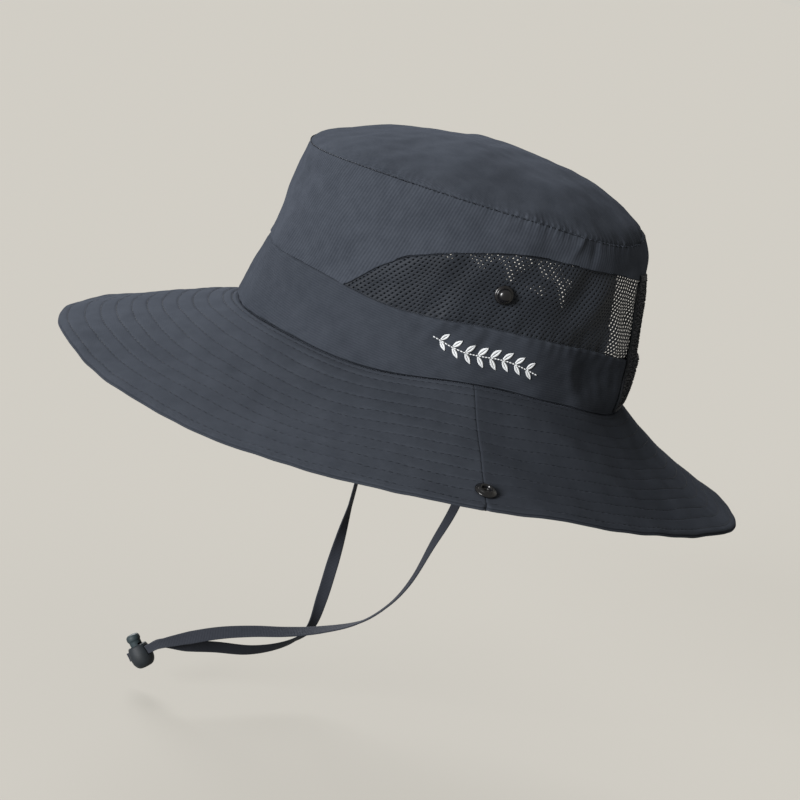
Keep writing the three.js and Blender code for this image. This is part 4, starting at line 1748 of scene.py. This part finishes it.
@dataclass
class PressStuds:
    """Domed studs on the nets and ring sockets on the brim."""

    stud_deg: float = 89.8
    stud_z: float = 46.9 * MM
    socket_deg: float = 87.5
    socket_share: float = 0.874
    sides: int = 48
    sideways: Array = field(default_factory=lambda: np.array([-1, 1, 0, 0]))
    lengthways: Array = field(default_factory=lambda: np.array([0, 0, -1, 1]))
    stud_outline: Pairs = (
        (0, -1.0), (3.2, -1.0), (3.5, -0.75), (3.5, -0.1), (4.2, 0.0), (4.5, 0.2), (4.5, 0.45), (4.3, 0.7),
        (3.9, 0.85), (3.5, 0.95), (3.3, 1.1), (3.2, 1.4), (3.2, 2.2), (3.05, 2.85), (2.65, 3.4), (2.0, 3.85),
        (1.1, 4.1), (0.4, 4.17), (0, 4.18),
    )
    socket_outline: Pairs = (
        (0, -0.25), (4.7, -0.25), (5.0, 0.05), (5.0, 0.4), (4.85, 0.68), (4.4, 0.86), (4.0, 1.02),
        (3.72, 1.3), (3.5, 1.62), (3.2, 1.86), (2.85, 1.96), (2.5, 1.88), (2.25, 1.6), (2.1, 1.1), (2.0, 0.5),
        (1.9, 0.12), (1.0, 0.05), (0, 0.05),
    )

    def seat(self, piece: Piece, place: Array, away: Array) -> None:
        """Stand a turned piece on a place, with its +Z along a direction."""
        turn = Vector(away).to_track_quat("Z", "Y").to_matrix().to_4x4()
        piece.data.transform(Matrix.Translation(Vector(place)) @ turn)

    def facing(self, points: Array) -> Array:
        """Direction of a face from four points round a place: two along it, two across it."""
        return unit(np.cross(points[1] - points[0], points[3] - points[2]))

    def build_stud(self, side: Side) -> Piece:
        """Domed stud on a net.

        Args:
            side: side of the hat.

        Returns:
            The new object.
        """
        piece = lathe(f"stud_{side.word}", self.stud_outline, self.sides)
        deg = side.value * (self.stud_deg + self.sideways)
        z = self.stud_z + self.lengthways * MM
        away = self.facing(FORM.crown(deg, z, 0.0)) * side.value
        place = FORM.crown(np.array(side.value * self.stud_deg), np.array(self.stud_z), np.array(0.0))
        self.seat(piece, place, away)
        return piece

    def build_socket(self, side: Side) -> Piece:
        """Ring socket on the brim beside the side seam.

        Args:
            side: side of the hat.

        Returns:
            The new object.
        """
        piece = lathe(f"socket_{side.word}", self.socket_outline, self.sides)
        deg = side.value * (self.socket_deg + self.sideways)
        share = self.socket_share + self.lengthways * 0.01
        away = -self.facing(FORM.brim(deg, share, 0.0, 0.0)) * side.value
        place = FORM.brim(np.array(side.value * self.socket_deg), np.array(self.socket_share), 0.0, -0.3 * MM)
        self.seat(piece, place, away)
        return piece

    def build(self, finishes: Finishes) -> None:
        """Make and dress studs and sockets on both sides.

        Args:
            finishes: the hat's finishes.
        """
        for side in Side:
            dress(self.build_stud(side), finishes.stud, "stud", f"crown_snap_{side.word}")
            dress(self.build_socket(side), finishes.stud, "stud", f"brim_snap_{side.word}")


@dataclass
class CordLock:
    """Sprung cord lock: a barrel with a cross hole for the strap, and a button on a stem."""

    place: Vector = field(default_factory=lambda: Vector((0, -100.2, -189.7)) * MM)
    axis: Vector = field(default_factory=lambda: Vector((-0.366, -0.597, 0.714)).normalized())
    passage_lean: Vector = field(default_factory=lambda: Vector((-0.574, -0.459, -0.678)))
    strap_level: float = 2.5 * MM
    sides: int = 56
    hole_width: float = 3.4 * MM
    hole_low: float = 0.0 * MM
    hole_high: float = 5.0 * MM
    travel: float = 2.5 * MM
    sharp_deg: float = 38
    barrel_outline: Pairs = (
        (0, -5.2), (1.5, -5.2), (2.6, -5.1), (3.6, -4.75), (4.5, -4.0), (5.15, -3.0), (5.6, -1.9),
        (5.83, -0.7), (5.9, 0.5), (5.82, 1.8), (5.62, 3.1), (5.35, 4.5), (5.07, 5.6), (4.8, 6.25),
        (4.4, 6.55), (3.9, 6.6), (3.5, 6.45), (3.32, 6.1), (3.3, 0.0), (3.3, -4.1), (0, -4.1),
    )
    button_outline: Pairs = (
        (0, -1.0), (2.7, -1.0), (2.95, -0.7), (3.0, 0.0), (3.0, 8.6), (3.12, 9.1), (3.4, 9.45), (3.52, 9.9),
        (3.52, 10.8), (3.36, 11.5), (2.95, 12.1), (2.25, 12.5), (1.25, 12.68), (0, 12.72),
    )

    @property
    def passage(self) -> Vector:
        """Direction in which the strap goes through."""
        lean = self.passage_lean
        return (lean - self.axis * lean.dot(self.axis)).normalized()

    @property
    def sideways(self) -> Vector:
        """Direction across the strap's passage."""
        return self.axis.cross(self.passage)

    def matrix(self) -> Matrix:
        """Place and turn of the lock: +Z up its stem, +X along the passage."""
        turn = Matrix((self.passage, self.sideways, self.axis)).transposed().to_4x4()
        return Matrix.Translation(self.place) @ turn

    def cut(self, piece: Piece, low: float, high: float) -> None:
        """Cut the strap's cross hole through a turned piece.

        Args:
            piece: the object.
            low: lower end of the hole.
            high: upper end of the hole.
        """
        corners = np.array([[x, y, z] for x in (-1, 1) for y in (-1, 1) for z in (0, 1)], float)
        corners *= [12 * MM, self.hole_width / 2, 1]
        corners[:, 2] = np.where(corners[:, 2] > 0.5, high, low)
        faces = [[0, 1, 3, 2], [4, 6, 7, 5], [0, 4, 5, 1], [2, 3, 7, 6], [0, 2, 6, 4], [1, 5, 7, 3]]
        cutter = make_piece("hole_cutter", corners, faces, None, flat=6)
        tool = piece.modifiers.new("strap_hole", "BOOLEAN")
        tool.operation, tool.solver, tool.object = "DIFFERENCE", "EXACT", cutter
        mesh = bpy.data.meshes.new_from_object(piece.evaluated_get(bpy.context.evaluated_depsgraph_get()))
        piece.modifiers.clear()
        piece.data = mesh
        bpy.data.objects.remove(cutter)
        self.soften(piece)

    def soften(self, piece: Piece) -> None:
        """Shade a cut piece smooth, with its sharp edges kept."""
        piece.data.polygons.foreach_set("use_smooth", [True] * len(piece.data.polygons))
        piece.data.set_sharp_from_angle(angle=math.radians(self.sharp_deg))

    def build(self, finishes: Finishes) -> tuple[Piece, Piece]:
        """Make and dress the lock.

        Args:
            finishes: the hat's finishes.

        Returns:
            The barrel and the button.
        """
        barrel = lathe("lock_barrel", self.barrel_outline, self.sides)
        self.cut(barrel, self.hole_low, self.hole_high)
        button = lathe("lock_button", self.button_outline, self.sides)
        self.cut(button, self.hole_low, self.hole_high + self.travel)
        for piece in (barrel, button):
            piece.data.transform(self.matrix())
        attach(button, "button")
        dress(barrel, finishes.lock, "toggle", "toggle_body")
        dress(button, finishes.lock_cap, "toggle", "toggle_button")
        return barrel, button


@dataclass
class ChinStrap:
    """One ribbon, sewn inside the band on both sides, whose loop end goes through the cord lock.

    The strands' rows are x, y, z in millimetres and the ribbon's turn in degrees about its own line.
    """

    length: float = 0.6185
    width: float = 6.5 * MM
    wall: float = 0.8 * MM
    held_width: float = 4.4 * MM
    anchor_deg: float = 95
    stack: float = 0.75
    steps: int = 9
    left: tuple[StrandRow, ...] = (
        (76.8, 8.6, -12, 40), (73.6, 10.6, -32, 58), (68, 11.8, -58.7, 73), (60, 9.2, -83.4, 88),
        (51, 7.0, -107.4, 103), (44, 2.4, -123.1, 113), (37, -6.7, -137, 114), (28.5, -23, -148.0, 84),
        (22, -38, -154.7, 66), (16.5, -53, -159.6, 54), (13, -68, -164.8, 42), (10.8, -81.5, -170.8, 32),
    )
    right: tuple[StrandRow, ...] = (
        (-77, 7.2, -14, 20), (-74, 5.4, -45, 45), (-69.5, 3.6, -78, 62), (-62, 1.7, -109.8, 56),
        (-54, -1, -125.4, 19), (-46, -3.7, -140, -15), (-38, -6.5, -155, -6), (-31, -10.1, -169.2, 24),
        (-25, -17.4, -175.2, 50), (-18, -28, -178.4, 34), (-9, -45, -179.8, 18), (-1, -65, -178.2, 8),
        (4.6, -80.6, -177.8, 2),
    )
    loop: Pairs = ((-14, 1.6), (-6.5, 1), (0, 1), (5.2, 1), (6.9, 1.25), (7.7, 0.9))
    loop_tip: float = 8.3

    def anchor(self, side: Side) -> list[Array]:
        """Points of the sewn end on the inside of the band.

        Args:
            side: side of the hat.

        Returns:
            The points, from the top.
        """
        deg = np.array(side.value * self.anchor_deg)
        base = FORM.base_z(deg)
        spots = ((0.6, -2.7 * MM), (0.35, -2.7 * MM), (0.0, -2.9 * MM))
        return [FORM.crown(deg, base + FORM.band_height * share, np.array(proud)) for share, proud in spots]

    def route(self, lock: CordLock) -> tuple[Array, list[Array | None], Array, Array]:
        """Rows of the whole line: down the left strand, through the lock and up the right one.

        Args:
            lock: the cord lock that the loop goes through.

        Returns:
            Points, fixed width directions or None, turns in degrees, and widths.
        """
        axis = np.array(lock.axis)

        def beside(along: float, across: float) -> Array:
            """Point beside the lock."""
            spot = lock.place + lock.axis * lock.strap_level
            return np.array(spot + lock.passage * (along * MM) + lock.sideways * (across * self.stack * MM))

        def strand(side: Side, rows: tuple[StrandRow, ...]) -> list[tuple[Array, Array | None, float, float]]:
            """Rows of one strand, from the band to the loop's tip.

            Args:
                side: side of the hat.
                rows: the strand's rows below the band.

            Returns:
                The rows.
            """
            made = [(point, None, 0.0, self.width) for point in self.anchor(side)]
            made += [(np.array(row[:3]) * MM, None, row[3], self.width) for row in rows]
            made += [(beside(a, side.value * c), axis, 0.0, self.held_width) for a, c in self.loop]
            return made

        rows = strand(Side.LEFT, self.left)
        rows.append((beside(self.loop_tip, 0), axis, 0.0, self.held_width))
        rows += strand(Side.RIGHT, self.right)[::-1]
        points, fixed, turns, widths = zip(*rows)
        return np.array(points), list(fixed), np.array(turns), np.array(widths)

    @staticmethod
    def spline(points: Array, steps: int) -> tuple[Array, Array, Array]:
        """Centripetal curve through points.

        Args:
            points: rows to pass through.
            steps: steps from row to row.

        Returns:
            Points of the curve, its directions, and the row number of each point.
        """
        ends = np.concatenate([[2 * points[0] - points[1]], points, [2 * points[-1] - points[-2]]])
        at = np.linspace(0, len(points) - 1, (len(points) - 1) * steps + 1)
        i = np.minimum(at.astype(int), len(points) - 2)
        t = (at - i)[:, None]
        p = [ends[i + k] for k in range(4)]
        gap = [np.sqrt(np.linalg.norm(p[k + 1] - p[k], axis=1))[:, None] for k in range(3)]
        leave = (p[1] - p[0]) / gap[0] - (p[2] - p[0]) / (gap[0] + gap[1]) + (p[2] - p[1]) / gap[1]
        arrive = (p[2] - p[1]) / gap[1] - (p[3] - p[1]) / (gap[1] + gap[2]) + (p[3] - p[2]) / gap[2]
        leave, arrive = leave * gap[1], arrive * gap[1]
        c2 = -3 * p[1] + 3 * p[2] - 2 * leave - arrive
        c3 = 2 * p[1] - 2 * p[2] + leave + arrive
        return p[1] + leave * t + c2 * t**2 + c3 * t**3, unit(leave + 2 * c2 * t + 3 * c3 * t**2), at

    def width_ways(self, directions: Array, fixed: list[Array | None], turns: Array) -> Array:
        """Direction of the ribbon's width at each row, without flips from row to row.

        Args:
            directions: the line's direction at each row.
            fixed: given width directions, or None.
            turns: turns about the line, in degrees.

        Returns:
            A direction for each row.
        """
        ways: list[Array] = []
        for forward, given, turn in zip(directions, fixed, turns):
            way = given if given is not None else np.cross(forward, [1.0, 0.0, 0.0])
            way = unit(way - forward * (way @ forward))
            way = np.array(Matrix.Rotation(math.radians(turn), 3, Vector(forward)) @ Vector(way))
            if ways and way @ ways[-1] < 0:
                way = -way
            ways.append(way)
        return np.array(ways)

    def build(self, finishes: Finishes, lock: CordLock, on_it: list[Piece]) -> None:
        """Args:
            finishes: the hat's finishes.
            lock: the cord lock.
            on_it: the lock's pieces; not used.
        """
        rows, fixed, turns, widths = self.route(lock)
        centre, forward, at = self.spline(rows, self.steps)
        ways = self.width_ways(forward[:: self.steps], fixed, turns)
        i = np.minimum(at.astype(int), len(rows) - 2)
        t = (at - i)[:, None]
        way = ways[i] * (1 - t) + ways[i + 1] * t
        way = unit(way - forward * (way * forward).sum(1, keepdims=True))
        normal = np.cross(forward, way)
        width = np.interp(at, np.arange(len(rows)), widths)[:, None, None]
        edge = np.array([(0.5, 0.0), (0.485, 0.3), (0.45, 0.46), (0.38, 0.42), (0.2, 0.36), (0.0, 0.35)])
        half = np.concatenate([edge, edge[-2::-1] * [-1, 1]])
        outline = np.concatenate([half, half[-2:0:-1] * [1, -1]])
        gone = along_line(centre)
        cup = 0.10 * np.cos(2 * np.pi * outline[:, 0]) * np.sin(gone[:, None] / (19 * MM))
        rings = centre[:, None] + way[:, None] * outline[None, :, :1] * width
        rings = rings + normal[:, None] * ((outline[:, 1] + cup) * self.wall)[..., None]
        v = outline[None, :, 0] * width[..., 0] + outline[None, :, 1] * self.wall
        strap = loft("chin_strap_ribbon", rings, cloth_place(gone[:, None], v), closed=False)
        dress(strap, finishes.ribbon, "ribbon", "chin_strap")
        LOG.info("chin strap: %.1f mm long", gone[-1] / MM)


@dataclass
class Sprig:
    """Small sprig of leaves in white satin stitch on the band, on the wearer's left."""

    middle_deg: float = 90
    foot_height: float = 13.5 * MM
    fall: float = -0.12
    half_length: float = 26 * MM
    leaves: int = 8
    leaf_length: float = 6.6 * MM
    leaf_width: float = 2.9 * MM
    threads: int = 15
    thread_width: float = 0.62 * MM
    thread_height: float = 0.5 * MM

    def on_band(self, u: Array, v: Array, proud: float) -> Array:
        """Points over the band, u along it from the sprig's middle and v up from its foot.

        Args:
            u: distances along the band.
            v: heights over the foot.
            proud: distance outside the plain face.

        Returns:
            Points, xyz in the last axis.
        """
        middle = FORM.crown_arc(np.array(self.middle_deg))
        deg = FORM.crown_deg(middle + u)
        z = FORM.base_z(np.full_like(deg, self.middle_deg)) + self.foot_height + v + self.fall * u
        band = Band()
        return FORM.crown(deg, z, band.relief(deg, z) + band.proud + proud)

    def stem(self, share: Array) -> tuple[Array, Array]:
        """Wavy line of the stem, share from -1 to 1."""
        return share * self.half_length, 1.3 * MM * np.sin(share * np.pi * 1.1)

    def lines(self) -> tuple[Array, Array]:
        """Both ends of every thread, as places on the band.

        Returns:
            Starts and ends.
        """
        stem = np.stack(self.stem(np.linspace(-1, 1, 36)), 1)
        starts, ends = [stem[:-1]], [stem[1:]]
        for k in range(self.leaves):
            share = -0.86 + 1.62 * k / (self.leaves - 1)
            root = np.array(self.stem(share))
            for up in (1, -1):
                lean = math.radians(52 if up > 0 else 48)
                size = 1 - 0.25 * abs(share) - (0.08 if up < 0 else 0)
                way = np.array([math.cos(lean), up * math.sin(lean)])
                side = np.array([-way[1], way[0]])
                along = np.linspace(0.1, 1.0, self.threads)
                wide = np.sin(np.pi * along**0.85) * self.leaf_width / 2 * size
                spine = root + way * (along * self.leaf_length * size)[:, None]
                for half in (1, -1):
                    tip = spine + side * (half * wide)[:, None] + way * (0.35 * wide + 0.25 * MM)[:, None]
                    starts.append(spine)
                    ends.append(tip)
        return np.concatenate(starts), np.concatenate(ends)

    def build(self, finishes: Finishes) -> None:
        """Make and dress the sprig.

        Args:
            finishes: the hat's finishes.
        """
        start, end = self.lines()
        low = self.on_band(start[:, 0], start[:, 1], 0.12 * MM)
        high = self.on_band(end[:, 0], end[:, 1], 0.10 * MM)
        middle = FORM.crown_arc(np.array(self.middle_deg))
        away = FORM.outward(FORM.crown_deg(middle + (start[:, 0] + end[:, 0]) / 2))
        piece = thread_pieces("sprig_stitches", low, high, away, self.thread_width, self.thread_height)
        dress(piece, finishes.white_thread, None)


@dataclass(frozen=True)
class Lamp:
    """A far, wide softbox: its direction, strength and angular size."""

    name: str
    direction: tuple[float, float, float]
    strength: float
    size_deg: float

    def build(self) -> None:
        """Add the lamp to the scene."""
        data = bpy.data.lights.new(self.name, "SUN")
        data.energy, data.angle = self.strength, math.radians(self.size_deg)
        lamp = bpy.data.objects.new(self.name, data)
        lamp.rotation_mode = "QUATERNION"
        lamp.rotation_quaternion = Vector(self.direction).to_track_quat("Z", "Y")
        lamp.location = Vector(self.direction)
        bpy.context.scene.collection.objects.link(lamp)


@dataclass
class Studio:
    """Camera at the photo's angle, soft light from the upper left, and a plain pale floor."""

    camera_place: tuple[float, float, float] = (0.9727, -0.3177, 0.2079)
    azimuth_deg: float = 72.33
    elevation_deg: float = 13.20
    roll_deg: float = 16.31
    lens: float = 94.6
    sensor: float = 36.0
    floor_z: float = -0.205
    floor_radius: float = 900.0
    floor_sides: int = 64
    paper: Colour = (0.084, 0.081, 0.076)
    glow: Colour = (0.443, 0.426, 0.386)
    sky: Colour = (0.6308, 0.6105, 0.5583)
    lamps: tuple[Lamp, ...] = (
        Lamp("front_softbox", (0.545, -0.815, 0.19), 9.4, 22),
        Lamp("back_softbox", (-0.844, -0.195, 0.5), 7.2, 34),
    )

    def build_camera(self) -> None:
        """Camera turned as in the photograph."""
        az, el, roll = (math.radians(x) for x in (self.azimuth_deg, self.elevation_deg, self.roll_deg))
        back = Vector((math.sin(az) * math.cos(el), -math.cos(az) * math.cos(el), math.sin(el)))
        level = Vector((math.cos(az), math.sin(az), 0))
        up = back.cross(level)
        right = level * math.cos(roll) + up * math.sin(roll)
        above = up * math.cos(roll) - level * math.sin(roll)
        turn = Matrix((right, above, back)).transposed().to_4x4()
        data = bpy.data.cameras.new("photo_camera")
        data.lens, data.sensor_width = self.lens, self.sensor
        data.clip_start, data.clip_end = 0.05, 200
        camera = bpy.data.objects.new("photo_camera", data)
        camera.matrix_world = Matrix.Translation(Vector(self.camera_place)) @ turn
        bpy.context.scene.collection.objects.link(camera)
        bpy.context.scene.camera = camera

    def build_light(self) -> None:
        """Softboxes, and an even pale sky."""
        for lamp in self.lamps:
            lamp.build()
        world = bpy.data.worlds.new("pale_sky")
        world.use_nodes = True
        background = world.node_tree.nodes["Background"]
        background.inputs["Color"].default_value = (*self.sky, 1)
        bpy.context.scene.world = world

    def build_floor(self) -> None:
        """Round pale floor under the hat."""
        turn = np.linspace(0, 2 * np.pi, self.floor_sides, endpoint=False)
        points = np.stack([np.cos(turn), np.sin(turn), 0 * turn], 1) * self.floor_radius
        points[:, 2] = self.floor_z
        mesh = bpy.data.meshes.new("floor")
        mesh.from_pydata(points.tolist(), [], [list(range(self.floor_sides))])
        floor = bpy.data.objects.new("floor", mesh)
        mesh.materials.append(PalePaper("pale_paper", self.paper, self.glow).make())
        bpy.context.scene.collection.objects.link(floor)

    def build(self) -> None:
        """Set up the whole studio."""
        bpy.context.scene.view_settings.view_transform = "Standard"
        self.build_camera()
        self.build_light()
        self.build_floor()


def main() -> None:
    """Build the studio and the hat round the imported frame."""
    logging.basicConfig(level=logging.INFO, format="%(name)s: %(message)s")
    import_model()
    Studio().build()
    finishes = Finishes()
    lock = CordLock()
    ChinStrap().build(finishes, lock, list(lock.build(finishes)))
    Crown().build(finishes)
    Band().build(finishes)
    NetWindows().build(finishes)
    Brim().build(finishes)
    BackTapes().build(finishes)
    PressStuds().build(finishes)
    Sprig().build(finishes)


if __name__ == "__main__":
    main()
